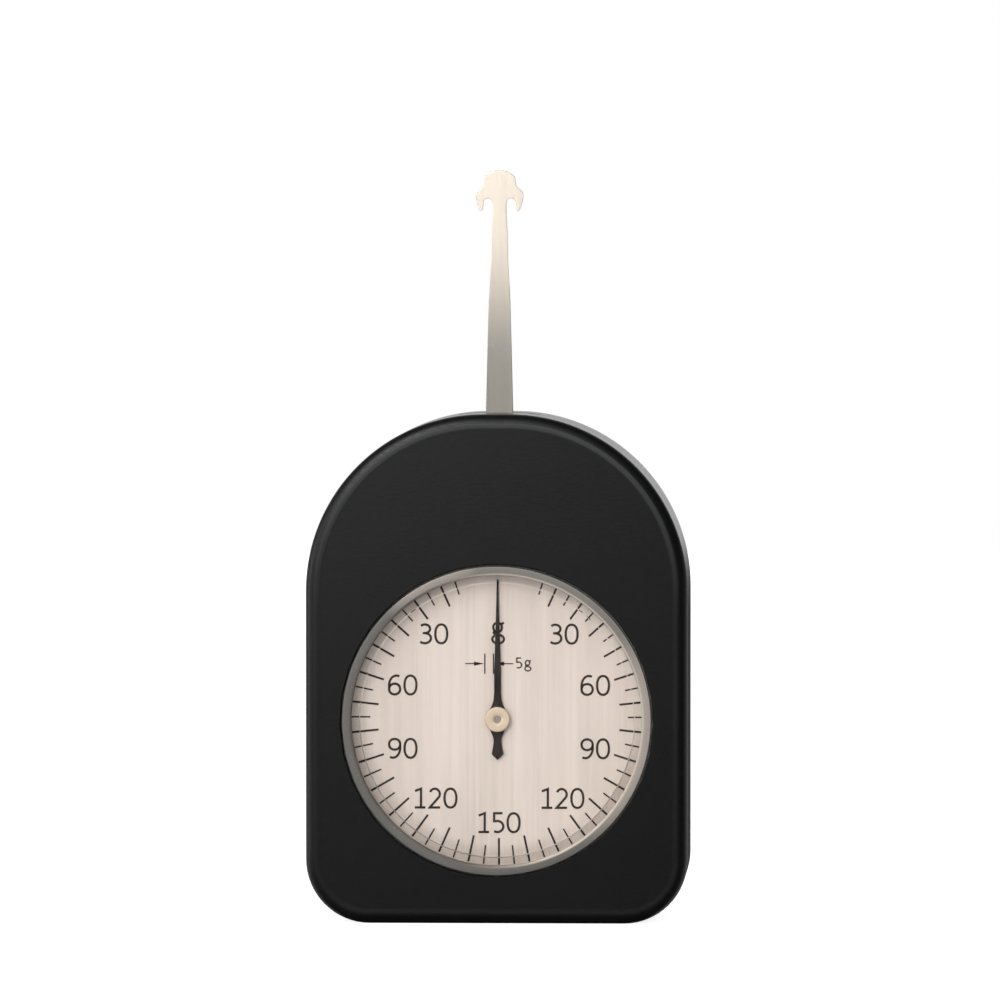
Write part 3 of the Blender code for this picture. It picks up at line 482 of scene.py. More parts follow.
def black_enamel():
    """Satin black enamel: grain on the flat faces, a painted highlight along the raised line that grows toward the
    top, side walls dull low down.
    """
    material, tree, shader = finish("black_enamel", 0.0, 0.4)
    wear = use(tree, wear_group, Size=1.0)
    place = object_place(tree)
    split = parts_of(tree, place)
    from_middle = calculate(tree, "ABSOLUTE", split["Y"], 0.0)
    face = remap(tree, from_middle, back_face - 0.14 * MM, back_face - 0.07 * MM)
    line = remap(tree, from_middle, back_face - line_height, back_face - line_height / 5)
    # Painted highlight: the raised line is lighter, more so toward the top of the case.
    painted_line_highlight = calculate(tree, "MULTIPLY", line, remap(tree, split["Z"], line_highlight_and_polish_from, line_highlight_to, 0.05, 0.8))
    tone = mix_colours(tree, wear["Smudge"], (0.0017, 0.0018, 0.0020), (0.0022, 0.0023, 0.0026))
    tone = mix_colours(tree, wear["Speck"], tone, (0.012, 0.012, 0.013))
    # The painted highlight's colour on the raised line.
    tone = mix_colours(tree, painted_line_highlight, tone, (0.040, 0.044, 0.042))
    link(tree, tone, shader.inputs["Base Color"])
    grain = noise(tree, place, 2400.0, 3.0, 0.5, (0.35, 1.0, 1.0))
    satin = remap(tree, grain, 0.3, 0.7, 0.47, 0.53)
    wall = remap(tree, from_middle, back_face - rim_radius - 0.1 * MM, back_face - rim_radius + 0.3 * MM,
                 1.0, 0.0)
    polish = remap(tree, split["Z"], line_highlight_and_polish_from, dull_to, 0.45, -0.2)
    link(tree, calculate(tree, "ADD", satin, calculate(tree, "MULTIPLY", wall, polish)),
         shader.inputs["Roughness"])
    bump(tree, shader, calculate(tree, "MULTIPLY", grain, face), 0.35, 0.03 * MM)
    return material


def satin_metal(name, dark, light, roughness, pitch=1.0, metallic=1.0):
    """Turned metal about the dial's centre, with tool marks, dull patches and small nicks."""
    material, tree, shader = finish(name, metallic)
    rings = use(tree, ring_group, Pitch=pitch)
    wear = use(tree, wear_group, Size=2.0)
    tone = mix_colours(tree, remap(tree, rings["Sweep"], 0.35, 0.65), dark, light)
    tone = mix_colours(tree, wear["Speck"], tone, tuple(min(1, value * 1.5) for value in light))
    link(tree, tone, shader.inputs["Base Color"])
    link(tree, remap(tree, rings["Ring"], 0.3, 0.7, roughness - 0.06, roughness + 0.1),
         shader.inputs["Roughness"])
    bump(tree, shader, rings["Ring"], 0.25, 0.01 * MM)
    return material


def about_dial(tree):
    """Radius of a place about the dial's centre, and its way across and up as a unit length."""
    split = parts_of(tree, object_place(tree))
    across = split["X"]
    up = calculate(tree, "SUBTRACT", split["Z"], dial_up)
    squares = calculate(tree, "ADD", calculate(tree, "MULTIPLY", across, across),
                        calculate(tree, "MULTIPLY", up, up))
    radius = calculate(tree, "SQRT", squares, 0.0)
    return radius, calculate(tree, "DIVIDE", across, radius), calculate(tree, "DIVIDE", up, radius)


def toward(tree, across, up, clock_angle, low, high):
    """How far a place about the dial lies toward one clock angle, eased between two cosines."""
    angle = math.radians(clock_angle)
    sideways = calculate(tree, "MULTIPLY", across, math.sin(angle))
    upward = calculate(tree, "MULTIPLY", up, math.cos(angle))
    return remap(tree, calculate(tree, "ADD", sideways, upward), low, high)


def window_metal():
    """The window ring's satin metal with painted light: painted highlights make it lighter and warmer toward its
    right and upper left and greyer to the lower left, and a painted cream reflection of the dial lies on its inner
    lip toward the right.
    """
    material, tree, shader = finish("window_metal", 0.5)
    rings = use(tree, ring_group, Pitch=1.0)
    wear = use(tree, wear_group, Size=2.0)
    radius, across, up = about_dial(tree)
    # Painted highlights: the ring's face is lighter toward these clock angles.
    right = toward(tree, across, up, 97, 0.62, 0.99)
    upper_right_highlight = calculate(tree, "MULTIPLY", toward(tree, across, up, 50, -0.3, 0.8), 0.27)
    upper_left_highlight = calculate(tree, "MULTIPLY", toward(tree, across, up, 335, 0.92, 1.0), 0.75)
    light = calculate(tree, "MAXIMUM", right, calculate(tree, "MAXIMUM", upper_right_highlight, upper_left_highlight))
    face_painted_highlight = mix_colours(tree, light, (0.165, 0.160, 0.145), (0.50, 0.44, 0.39))
    # Painted reflection of the dial: the inner lip turns cream toward the right.
    lip_painted_reflection = mix_colours(tree, toward(tree, across, up, 80, -0.5, 0.4),
                           (0.150, 0.128, 0.112), (0.70, 0.61, 0.52))
    lip = remap(tree, radius, ring_inner + 0.25 * MM, ring_inner + 0.45 * MM, 1.0, 0.0)
    tone = mix_colours(tree, lip, face_painted_highlight, lip_painted_reflection)
    tone = mix_colours(tree, calculate(tree, "MULTIPLY", rings["Sweep"], 0.3), tone, (0.30, 0.29, 0.27))
    tone = mix_colours(tree, wear["Speck"], tone, (0.62, 0.60, 0.56))
    link(tree, tone, shader.inputs["Base Color"])
    link(tree, remap(tree, rings["Ring"], 0.3, 0.7, 0.40, 0.56), shader.inputs["Roughness"])
    bump(tree, shader, rings["Ring"], 0.25, 0.01 * MM)
    return material


def ground_metal(name, dark, light, roughness, count=1.0):
    """Ground strip or plate: grinding lines along Z, slow bands, scratches."""
    material, tree, shader = finish(name, 1.0)
    lines = use(tree, line_group, Count=count)
    wear = use(tree, wear_group, Size=2.0)
    tone = mix_colours(tree, remap(tree, lines["Band"], 0.35, 0.65), dark, light)
    link(tree, tone, shader.inputs["Base Color"])
    rough = remap(tree, lines["Line"], 0.3, 0.7, roughness - 0.05, roughness + 0.08)
    link(tree, calculate(tree, "ADD", rough, calculate(tree, "MULTIPLY", wear["Scratch"], 0.15)),
         shader.inputs["Roughness"])
    bump(tree, shader, lines["Line"], 0.3, 0.008 * MM)
    return material


def feeler_steel():
    """The feeler's ground steel with painted light: bright and warm toward the tip, shaded greyer near the case.
    """
    material, tree, shader = finish("feeler_steel", 0.5)
    lines = use(tree, line_group, Count=0.8)
    wear = use(tree, wear_group, Size=2.4)
    up = parts_of(tree, object_place(tree))["Z"]
    # Painted light and shade along the strip's height, with random bands of tone added.
    height = remap(tree, up, lever_painted_shade_to, lever_painted_light_from)
    band = calculate(tree, "MULTIPLY", calculate(tree, "SUBTRACT", lines["Band"], 0.5), 0.25)
    painted_light_and_bands = calculate(tree, "ADD", height, band)
    tone = mix_colours(tree, painted_light_and_bands, (0.36, 0.335, 0.296), (0.85, 0.757, 0.65))
    tone = mix_colours(tree, calculate(tree, "MULTIPLY", wear["Scratch"], 0.5), tone, (0.62, 0.58, 0.52))
    link(tree, tone, shader.inputs["Base Color"])
    link(tree, remap(tree, lines["Line"], 0.3, 0.7, 0.34, 0.48), shader.inputs["Roughness"])
    bump(tree, shader, lines["Line"], 0.25, 0.008 * MM)
    return material


def brushed_dial():
    """Warm silver dial sheet, brushed up and down, with a little bloom from age."""
    material, tree, shader = finish("brushed_dial", 0.12, 0.4)
    lines = use(tree, line_group, Count=0.45)
    wear = use(tree, wear_group, Size=0.7)
    tone = mix_colours(tree, remap(tree, lines["Band"], 0.3, 0.7),
                       (0.715, 0.619, 0.551), (0.78, 0.682, 0.614))
    fine = remap(tree, lines["Line"], 0.25, 0.75, 0.93, 1.05)
    tone = mix_colours(tree, 1.0, tone, fine, "MULTIPLY")
    bloom = calculate(tree, "MULTIPLY", wear["Smudge"], 0.25)
    tone = mix_colours(tree, bloom, tone, (0.80, 0.675, 0.633))
    link(tree, tone, shader.inputs["Base Color"])
    link(tree, remap(tree, lines["Line"], 0.3, 0.7, 0.48, 0.62), shader.inputs["Roughness"])
    bump(tree, shader, lines["Line"], 0.15, 0.006 * MM)
    return material


def smudged(name, metallic, specular, size, dark, light, smooth, rough):
    """A plain finish whose tone and roughness vary only with its smudges."""
    material, tree, shader = finish(name, metallic, specular)
    smudge = use(tree, wear_group, Size=size)["Smudge"]
    link(tree, mix_colours(tree, smudge, dark, light), shader.inputs["Base Color"])
    link(tree, remap(tree, smudge, 0.0, 1.0, smooth, rough), shader.inputs["Roughness"])
    return material


def clear_crystal():
    """Clear moulded crystal that lets lamps through to the dial; low down it carries painted shade: a dark line on
    its step, a painted shadow of the ring past the step and a soft shade toward its rim, and its step is rougher
    there.
    """
    material, tree, shader = finish("clear_crystal", 0.0)
    radius, across, up = about_dial(tree)
    past_step = remap(tree, radius, crystal_step - 0.05 * MM, crystal_step)
    on_step = remap(tree, radius, crystal_step + crystal_wall, crystal_step + crystal_wall + 0.05 * MM,
                    1.0, 0.0)
    # Painted shade: a dark line on the step's wall low down; the step is also rougher there.
    shaded_rough_step = calculate(tree, "MULTIPLY", calculate(tree, "MULTIPLY", past_step, on_step),
                          toward(tree, across, up, 185, -0.3, 0.3))
    # Painted shadow of the ring on the band past the step, and a painted shade toward the rim, low down.
    painted_rim_shadow = calculate(tree, "MULTIPLY", calculate(tree, "MULTIPLY", past_step, 0.5),
                         toward(tree, across, up, 160, 0.1, 0.8))
    shade = calculate(tree, "MULTIPLY", remap(tree, radius, shade_from, shade_to, 0.0, 0.28),
                      toward(tree, across, up, 205, 0.2, 0.9))
    tone = mix_colours(tree, calculate(tree, "MAXIMUM", painted_rim_shadow, shade), (0.985, 0.985, 0.98),
                       (0.45, 0.42, 0.39))
    link(tree, mix_colours(tree, shaded_rough_step, tone, (0.20, 0.18, 0.16)), shader.inputs["Base Color"])
    shader.inputs["Transmission Weight"].default_value = 1.0
    shader.inputs["IOR"].default_value = 1.49
    wear = use(tree, wear_group, Size=1.5)
    rough = remap(tree, wear["Smudge"], 0.0, 1.0, 0.01, 0.035)
    link(tree, calculate(tree, "ADD", rough, calculate(tree, "MULTIPLY", shaded_rough_step, 0.4)),
         shader.inputs["Roughness"])
    clear = node(tree, "ShaderNodeBsdfTransparent")
    blend = mix_shaders(tree, either_ray(tree, "Is Shadow Ray", "Is Diffuse Ray"),
                        shader.outputs["BSDF"], clear.outputs["BSDF"])
    link(tree, blend, tree.nodes["Material Output"].inputs["Surface"])
    return material


enamel = black_enamel()
ring_metal = satin_metal("ring_metal", (0.34, 0.34, 0.32), (0.48, 0.48, 0.45), 0.46)
window_finish = window_metal()
hub_metal = satin_metal("hub_metal", (0.60, 0.475, 0.35), (0.66, 0.53, 0.40), 0.58, 2.0, 0.35)
steel = ground_metal("ground_steel", (0.50, 0.48, 0.45), (0.62, 0.60, 0.56), 0.3)
brass = ground_metal("brushed_brass", (0.58, 0.41, 0.17), (0.70, 0.52, 0.24), 0.34)
spring_blue = ground_metal("spring_blue", (0.13, 0.15, 0.24), (0.22, 0.24, 0.34), 0.3, 2.0)
feeler_finish = feeler_steel()
dial_finish = brushed_dial()
ink = smudged("printed_ink", 0.0, 0.3, 3.0, (0.020, 0.012, 0.008), (0.040, 0.026, 0.020), 0.5, 0.65)
black_steel = smudged("blackened_steel", 0.1, 0.25, 4.0, (0.015, 0.010, 0.010), (0.028, 0.021, 0.019),
                      0.38, 0.55)
dark_screw = ground_metal("dark_screw", (0.055, 0.052, 0.055), (0.10, 0.095, 0.09), 0.36)
crystal = clear_crystal()
rubber = smudged("soft_rubber", 0.0, 0.3, 2.0, (0.02, 0.02, 0.02), (0.035, 0.034, 0.033), 0.7, 0.85)


# Case shells

def outline(inset, depth):
    """The case's outline drawn in by an inset, as a ring of points at one depth."""
    corner = corner_radius - inset
    side = case_half - corner_radius
    half = [(side * share, inset) for share in (0, 0.25, 0.5, 0.75)]
    half += arc(side, corner_radius, corner, -math.pi / 2, 0, CORNER_STEPS)
    half += [(case_half - inset, corner_radius + (dome_centre_up - corner_radius) * share)
             for share in (0.125, 0.25, 0.375, 0.5, 0.625, 0.75, 0.875)]
    dome_out = case_half - dome_radius
    half += arc(dome_out, dome_centre_up, dome_radius - inset, 0, math.pi / 2, DOME_STEPS)
    half += [(dome_out * share, case_top - inset) for share in (0.66, 0.33, 0)]
    whole = half + [(-x, y) for x, y in reversed(half[1:-1])]
    return [(x, depth, y) for x, y in whole]


def rim_rings(face, inward):
    """From the side wall over the rounded rim and the raised line, which falls softly to the face."""
    rings = []
    for step in range(RIM_STEPS + 1):
        angle = math.pi / 2 * step / RIM_STEPS
        inset = rim_radius * (1 - math.cos(angle))
        rings.append(outline(inset, face + inward * rim_radius * (1 - math.sin(angle))))
    rings.append(outline(rim_radius + line_width, face))
    for step in range(1, FADE_STEPS + 1):
        share = step / FADE_STEPS
        drop = line_height * (3 - 2 * share) * share ** 2
        rings.append(outline(rim_radius + line_width + line_fade * share, face + inward * drop))
    return rings


def face_circle(radius, depth, ring):
    """A circle about the dial whose points lie in line with those of an outline ring."""
    points = []
    for x, _, z in ring:
        angle = math.atan2(z - dial_up, x)
        points.append((radius * math.cos(angle), depth, dial_up + radius * math.sin(angle)))
    return points


def slot_block():
    shape = bmesh.new()
    bmesh.ops.create_cube(shape, size=1)
    size = (2 * slot_half_width, 2 * slot_half_depth, 4 * side_wall)
    bmesh.ops.scale(shape, vec=size, verts=shape.verts)
    bmesh.ops.translate(shape, vec=(0, 0, case_top), verts=shape.verts)
    return mesh_from(shape, "slot_block")


def screw_places(prefix):
    """Centres of the CAD screws of one kind, as (x, z)."""
    places = []
    for number in range(1, 5):
        low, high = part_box(f"{prefix}_{number}")
        places.append(((low.x + high.x) / 2, (low.z + high.z) / 2))
    return places


case_screws = screw_places("case_screw")
mount_screws = screw_places("mount_screw")


def front_shell():
    seam_edge = front_high.y
    inside = front_face + front_wall
    ledge = -(lip_height + rest_gap)
    skin = side_wall - lip_thickness - rest_gap
    opening = ring_outer + rest_gap
    face = front_face + line_height
    rings = [outline(0, seam_edge)]
    rings += rim_rings(front_face, 1)
    base = rings[-1]
    rings += [face_circle(opening + 8 * opening_edge, face, base),
              face_circle(opening + opening_edge, face, base),
              face_circle(opening, face + opening_edge, base), face_circle(opening, inside, base),
              outline(side_wall, inside), outline(side_wall, ledge), outline(skin, ledge),
              outline(skin, seam_edge)]
    obj = show("front_shell", loft("front_shell", rings), enamel, "root", ["front_case"])
    combine(obj, slot_block(), "DIFFERENCE")
    boss_back = plate_low.y - rest_gap
    bosses = [circle(post_radius, x, z) for x, z in case_screws]
    bosses += [circle(boss_radius, x, z) for x, z in mount_screws]
    combine(obj, flat("bosses", bosses, inside - front_wall / 2, boss_back), "UNION")
    bores = [circle(bore_radius, x, z, SMALL_STEPS) for x, z in case_screws + mount_screws]
    combine(obj, flat("bores", bores, inside + front_wall / 2, boss_back + overrun), "DIFFERENCE")


def rear_shell():
    inside = back_face - rear_wall
    middle = outline(rim_radius, back_face)
    lip = side_wall - lip_thickness
    rings = [face_circle(overrun, inside, middle), outline(side_wall, inside),
             outline(side_wall, rear_low.y), outline(lip, rear_low.y), outline(lip, -front_high.y),
             outline(0, -front_high.y)]
    rings += rim_rings(back_face, -1)
    rings.append(face_circle(overrun, back_face - line_height, middle))
    obj = show("rear_shell", loft("rear_shell", rings, capped=True), enamel, "root", ["rear_case"])
    combine(obj, slot_block(), "DIFFERENCE")
    posts = [circle(post_radius, x, z) for x, z in case_screws]
    combine(obj, flat("posts", posts, plate_high.y + rest_gap, inside + rear_wall / 2), "UNION")
    bores = [circle(bore_radius, x, z, SMALL_STEPS) for x, z in case_screws]
    combine(obj, flat("bores", bores, plate_high.y - overrun, back_face + overrun), "DIFFERENCE")
    recesses = [circle(recess_radius, x, z) for x, z in case_screws]
    combine(obj, flat("recesses", recesses, back_face - recess_depth, back_face + overrun), "DIFFERENCE")


def case_screw(number, x, z):
    """A slotted cheese-head screw, its head at the back with a broken edge."""
    low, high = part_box(f"case_screw_{number}")
    head = (high.x - low.x) / 2
    edge = 0.25 * MM
    shaft = 1.0 * MM
    head_front = high.y - 1.2 * MM
    profile = [(0, low.y), (shaft - edge, low.y), (shaft, low.y + edge), (shaft, head_front),
               (head, head_front), (head, high.y - edge), (head - edge, high.y), (0, high.y)]
    obj = show(f"cover_screw_{number}", turned(f"cover_screw_{number}", profile, z, HOLE_STEPS, x),
               dark_screw, "root", [f"case_screw_{number}"])
    slot = bmesh.new()
    bmesh.ops.create_cube(slot, size=1)
    bmesh.ops.scale(slot, vec=(4 * head, 1.0 * MM, 0.5 * MM), verts=slot.verts)
    lean = Matrix.Rotation(math.radians(driver_slot_turn * number), 4, "Y")
    bmesh.ops.transform(slot, matrix=Matrix.Translation((x, high.y, z)) @ lean, verts=slot.verts)
    combine(obj, mesh_from(slot, "driver_slot"), "DIFFERENCE")


# Window

def window_ring():
    """The turned ring: a flat face with its two edges broken, over a pocket for the crystal."""
    front = bezel_low.y
    back = bezel_high.y
    inner = ring_inner
    outer = ring_outer
    flange = bezel_high.x
    shoulder = front_face + front_wall + rest_gap
    pocket = lens_high.x + rest_gap
    web = shoulder + 0.5 * MM
    profile = [(flange, shoulder), (outer, shoulder)]
    edge = 0.06 * MM
    profile += [(outer, front + edge), (outer - edge, front), (inner + 0.14 * MM, front),
                (inner, front + 0.14 * MM), (inner, web), (pocket, web), (pocket, back), (flange, back)]
    show("window_ring", turned("window_ring", profile, dial_up), window_finish, "root", ["bezel_ring"],
         50)


def window_crystal():
    """A flat crystal with a low raised middle, whose edge carries a fine line of painted shade."""
    front = lens_low.y
    back = lens_high.y
    radius = lens_high.x
    step = 0.3 * MM
    profile = [(0, front), (crystal_step - 0.06 * MM, front), (crystal_step, front + 0.03 * MM),
               (crystal_step + crystal_wall, front + step), (radius - 0.2 * MM, front + step),
               (radius, front + step + 0.2 * MM), (radius, back), (0, back)]
    show("window_crystal", turned("window_crystal", profile, dial_up), crystal, "root",
         ["window_lens"], 20)


def packing_ring(name, cad_name, material):
    """A square ring of the window's stack, as deep as its CAD node, with its edges broken."""
    low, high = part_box(cad_name)
    inner = lens_high.x - rest_gap
    edge = 0.08 * MM
    outer = high.x
    profile = [(inner + edge, low.y), (outer - edge, low.y), (outer, low.y + edge),
               (outer, high.y - edge), (outer - edge, high.y), (inner + edge, high.y),
               (inner, high.y - edge), (inner, low.y + edge)]
    show(name, turned(name, profile, dial_up), material, "root", [cad_name])


# Print on the dial

def lay_stroke(shape, points, width, closed=False):
    """Lay one printed stroke: a low ribbon along the points, which are (x, z) about the dial's centre."""
    path = [Vector(point) for point in points]
    count = len(path)
    left, right = [], []
    for index, point in enumerate(path):
        before = path[index - 1] if index or closed else point
        after = path[(index + 1) % count] if index + 1 < count or closed else point
        way_in = (point - before).normalized() if point != before else (after - point).normalized()
        way_out = (after - point).normalized() if after != point else way_in
        along = (way_in + way_out).normalized()
        across = Vector((-along.y, along.x))
        reach = width / 2 / max(0.4, across.dot(Vector((-way_in.y, way_in.x))))
        left.append(point + across * reach)
        right.append(point - across * reach)
    tops, feet = [], []
    for depth, made in ((dial_face - ink_height, tops), (dial_face, feet)):
        for edge in (left, right):
            made.append([shape.verts.new((x, depth, print_up + z)) for x, z in edge])
    sides = ((tops[0], tops[1]), (feet[0], feet[1]), (tops[0], feet[0]), (tops[1], feet[1]))
    for index in range(count if closed else count - 1):
        after = (index + 1) % count
        for first, second in sides:
            shape.faces.new((first[index], first[after], second[after], second[index]))
    if not closed:
        for end in (0, -1):
            shape.faces.new((tops[0][end], tops[1][end], feet[1][end], feet[0][end]))


def lay_patch(shape, points):
    """Lay a filled convex patch of ink."""
    top = [shape.verts.new((x, dial_face - ink_height, print_up + z)) for x, z in points]
    foot = [shape.verts.new((x, dial_face, print_up + z)) for x, z in points]
    shape.faces.new(top)
    shape.faces.new(foot)
    for index in range(len(points)):
        after = (index + 1) % len(points)
        shape.faces.new((top[index], top[after], foot[after], foot[index]))


def oval(x, y, half_width, half_height, start=0, end=360, steps=40, square=2.0):
    """Points along an oval between two angles; square above 2 fills its corners a little."""
    points = []
    for angle in np.radians(np.linspace(start, end, steps + 1)):
        cosine, sine = math.cos(angle), math.sin(angle)
        points.append((x + half_width * math.copysign(abs(cosine) ** (2 / square), cosine),
                       y + half_height * math.copysign(abs(sine) ** (2 / square), sine)))
    return points


# Figures in units of a tenth of their own height: (width, strokes), each stroke (points, closed)
FIGURES = {
    "0": (6.3, [(oval(3.15, 5, 3.15, 5, 0, 360, 48, 2.25)[:-1], True)]),
    "1": (5.6, [([(0.1, 8.75), (3.35, 10), (3.35, 0)], False), ([(0, 0), (5.7, 0)], False)]),
    "2": (5.6, [(oval(2.75, 7.15, 2.65, 2.85, 158, -38, 26) + [(0.1, 0), (5.6, 0)], False)]),
    "3": (5.6, [(oval(2.4, 7.7, 2.75, 2.3, 140, -80, 24), False), ([(1.2, 5.4), (3.0, 5.4)], False),
                (oval(2.3, 2.7, 3.3, 2.7, 80, -138, 26), False)]),
    "5": (5.3, [([(4.9, 10), (0.45, 10), (0.4, 5.75)] + oval(2.2, 2.95, 3.1, 2.95, 108, -125, 28),
                 False)]),
    "6": (5.9, [([(5.5, 9.6), (4.7, 9.93)] + oval(3.8, 4.6, 3.8, 5.4, 90, 186, 22) + [(0.02, 3.0)],
                 False),
                (oval(2.95, 2.85, 2.95, 2.85, 0, 360, 40, 2.1)[:-1], True)]),
}
FIGURES["9"] = (5.9, [([(5.9 - x, 10 - y) for x, y in points], closed)
                      for points, closed in FIGURES["6"][1]])
TWO_LOOP_G = (5.7, [(oval(2.6, 7.5, 2.05, 2.2, 0, 360, 32)[:-1], True),
                    ([(4.1, 9.0), (5.6, 9.7)], False),
                    ([(1.4, 5.9), (0.8, 5.1), (1.3, 4.3), (3.2, 4.0)]
                     + oval(2.85, 2.0, 2.75, 2.0, 65, -235, 30), False)])


def lay_figures(shape, text, x, z, height, width):
    """Lay a number, its middle at x and z, with its strokes of an even width."""
    unit = (height - width) / 10
    gap = 2.35 * unit
    figures = [TWO_LOOP_G if letter == "g" else FIGURES[letter] for letter in text]
    total = sum(figure[0] for figure in figures) * unit + gap * (len(figures) - 1)
    left = x - total / 2
    for figure_width, strokes in figures:
        for points, closed in strokes:
            placed = [(left + px * unit, z + (py - 5) * unit) for px, py in points]
            lay_stroke(shape, placed, width, closed)
        left += figure_width * unit + gap


def polar(radius, degrees):
    angle = math.radians(degrees)
    return (radius * math.sin(angle) + print_shift, radius * math.cos(angle))


def show_print(name, shape):
    show(name, mesh_from(shape, name), ink, "root")


def dial_print():
    """Marks, numbers, legend and unit letter, each a piece of its own on the dial."""
    marks = bmesh.new()
    for grams in range(15, 155, 5):
        long_mark = grams % 10 == 0
        inner = long_mark_radius if long_mark else short_mark_radius
        width = long_mark_width if long_mark else short_mark_width
        degrees = grams * degrees_per_gram
        for side in (-1, 1):
            if grams == 150 and side > 0:
                continue
            ends = [polar(radius, side * degrees) for radius in (inner, mark_end_radius)]
            lay_stroke(marks, ends, width)
    show_print("scale_marks", marks)
    numbers = bmesh.new()
    for text, x, z in NUMBER_PLACES:
        for side in (-1, 1) if x else (1,):
            lay_figures(numbers, text, side * x + print_shift, z, figure_height, figure_stroke)
    show_print("scale_numbers", numbers)
    legend = bmesh.new()
    line = 0.21 * MM
    row = 8.42 * MM
    bar, bar_gap = 1.6 * MM, 1.37 * MM
    left_bar = print_shift - 2.23 * MM
    for x in (left_bar, left_bar + bar_gap):
        lay_stroke(legend, [(x, row - bar), (x, row + bar)], line)
    for tip, way in ((left_bar - line / 2, -1), (left_bar + bar_gap + line / 2, 1)):
        tail = tip + way * 3.0 * MM
        head = tip + way * 1.6 * MM
        lay_stroke(legend, [(tip + way * 0.3 * MM, row), (tail, row)], line * 0.9)
        lay_patch(legend, [(tip, row), (head, row + 0.33 * MM), (head, row - 0.33 * MM)])
    lay_figures(legend, "5", print_shift + 3.15 * MM, row + 0.12 * MM, 1.78 * MM, 0.23 * MM)
    lay_figures(legend, "g", print_shift + 4.55 * MM, row - 0.28 * MM, 1.9 * MM, 0.22 * MM)
    show_print("scale_legend", legend)
    unit_mark = bmesh.new()
    lay_figures(unit_mark, "g", print_shift - 0.13 * MM, 13.3 * MM, 3.74 * MM, 0.37 * MM)
    show_print("scale_unit", unit_mark)


# Pointer and its hub

def pointer_blade():
    """The blade: straight taper, flares into the eye, and a spade-shaped tail."""
    eye = 1.9 * MM
    tip = pointer_high.z - dial_up
    half = in_mm([(0, -6.45), (0.45, -6.0), (0.93, -5.5), (0.86, -5.1), (0.7, -4.3), (0.6, -3.5),
                  (0.66, -2.9), (0.95, -2.2), (1.25, -1.55)])
    half += arc(0, 0, eye, math.radians(-42), math.radians(42), 12)
    half += in_mm([(1.2, 1.6), (0.85, 2.3), (0.62, 3.1), (0.54, 4.2), (0.53, 7.4), (0.40, 11.9),
                   (0.19, 18.4)])
    half += [(0.13 * MM, tip - 0.1 * MM), (0, tip)]
    loops = [[(x, y + dial_up) for x, y in mirrored(half)], circle(1.5 * MM, 0, dial_up)]
    mesh = flat("pointer_blade", loops, pointer_low.y, pointer_high.y, 0.05 * MM, 1)
    show("pointer_blade", mesh, black_steel, "pointer_train", ["pointer"], 20)


def pointer_cap():
    """The turned cap: rounded edge, a faint dish and a bore for the arbor's tip."""
    front = hub_low.y
    back = hub_high.y
    radius = hub_high.x
    bore = 0.56 * MM
    barrel = 1.2 * MM
    cap_back = front + 0.85 * MM
    edge = 0.2 * MM
    profile = [(bore, front + 0.06 * MM), (bore + 0.05 * MM, front + 0.02 * MM),
               (bore + 0.5 * MM, front + 0.01 * MM), (radius - edge - 0.1 * MM, front)]
    for step in range(5):
        angle = math.pi / 2 * step / 4
        profile.append((radius - edge + edge * math.sin(angle), front + edge - edge * math.cos(angle)))
    profile += [(radius, cap_back), (barrel, cap_back), (barrel, back), (bore, back)]
    show("pointer_cap", turned("pointer_cap", profile, dial_up, 96), hub_metal, "pointer_train",
         ["pointer_hub"], 40)


# Feeler lever

def lever_half_width(up):
    return lever_knee_half + lever_taper * (lever_knee_up - up)


def feeler_strip():
    """The strip from its eye in the case up to the double hook, with its edges broken."""
    eye_radius = 5.6 * MM
    meet = math.acos(lever_half_width(pivot_up + eye_radius) / eye_radius)
    half = arc(0, pivot_up, eye_radius, -math.pi / 2, meet, 24)
    half += [(lever_knee_half, lever_knee_up)] + in_mm([(1.34, 104.0), (1.3, 107.8)])
    throat = 1.1 * MM
    notch = 0.725 * MM
    half += [(throat, 111.6 * MM)] + arc(throat + notch, 113.85 * MM - notch, notch, math.pi, 0, 18)
    half += in_mm([(2.60, 112.3), (2.68, 112.03), (2.82, 111.88), (3.02, 111.85), (3.18, 111.98),
                   (3.34, 112.35), (3.66, 113.4), (3.75, 113.85), (3.77, 114.3), (3.71, 114.72),
                   (3.53, 115.02), (3.05, 115.42), (2.76, 115.66), (2.62, 115.95), (2.55, 116.4),
                   (2.48, 117.0), (2.36, 117.33)])
    crown_half = 2.35 * MM
    rise = lever_high.z - 117.35 * MM
    crown = (crown_half ** 2 + rise ** 2) / (2 * rise)
    lean = math.asin(2.2 * MM / crown)
    half += arc(0, lever_high.z - crown, crown, math.pi / 2 - lean, math.pi / 2, 12)
    half[-1] = (0, lever_high.z)
    half[0] = (0, pivot_up - eye_radius)
    whole = half + [(-x, y) for x, y in reversed(half[1:-1])]
    loops = [whole, circle(2.5 * MM, 0, pivot_up)]
    loops += [circle(0.8 * MM, side * 3.8 * MM, pivot_up, 20) for side in (1, -1)]
    mesh = flat("feeler_strip", loops, lever_low.y, lever_high.y, 0.08 * MM, 2)
    show("feeler_strip", mesh, feeler_finish, "lever", ["feeler_lever"], 12)


front_shell()
rear_shell()
for screw_number, (screw_x, screw_z) in enumerate(case_screws, 1):
    case_screw(screw_number, screw_x, screw_z)
window_ring()
window_crystal()
packing_ring("crystal_gasket", "lens_gasket", rubber)
packing_ring("dial_ring", "dial_spacer", ring_metal)
dial_print()
pointer_blade()
pointer_cap()
feeler_strip()

finish_of_slot = {"black_shell": enamel, "satin_ring": ring_metal, "crystal": crystal,
                  "black_rubber": rubber, "silver_dial": dial_finish, "bright_steel": steel,
                  "dark_steel": dark_screw, "pale_brass": hub_metal, "yellow_brass": brass,
                  "blued_spring": spring_blue}
for subpart in frame["record"]["subparts"]:
    for material_slot in frame["nodes"][subpart["node"]].material_slots:
        material_slot.material = finish_of_slot[subpart["material_slot"]]


# Floor, light and camera

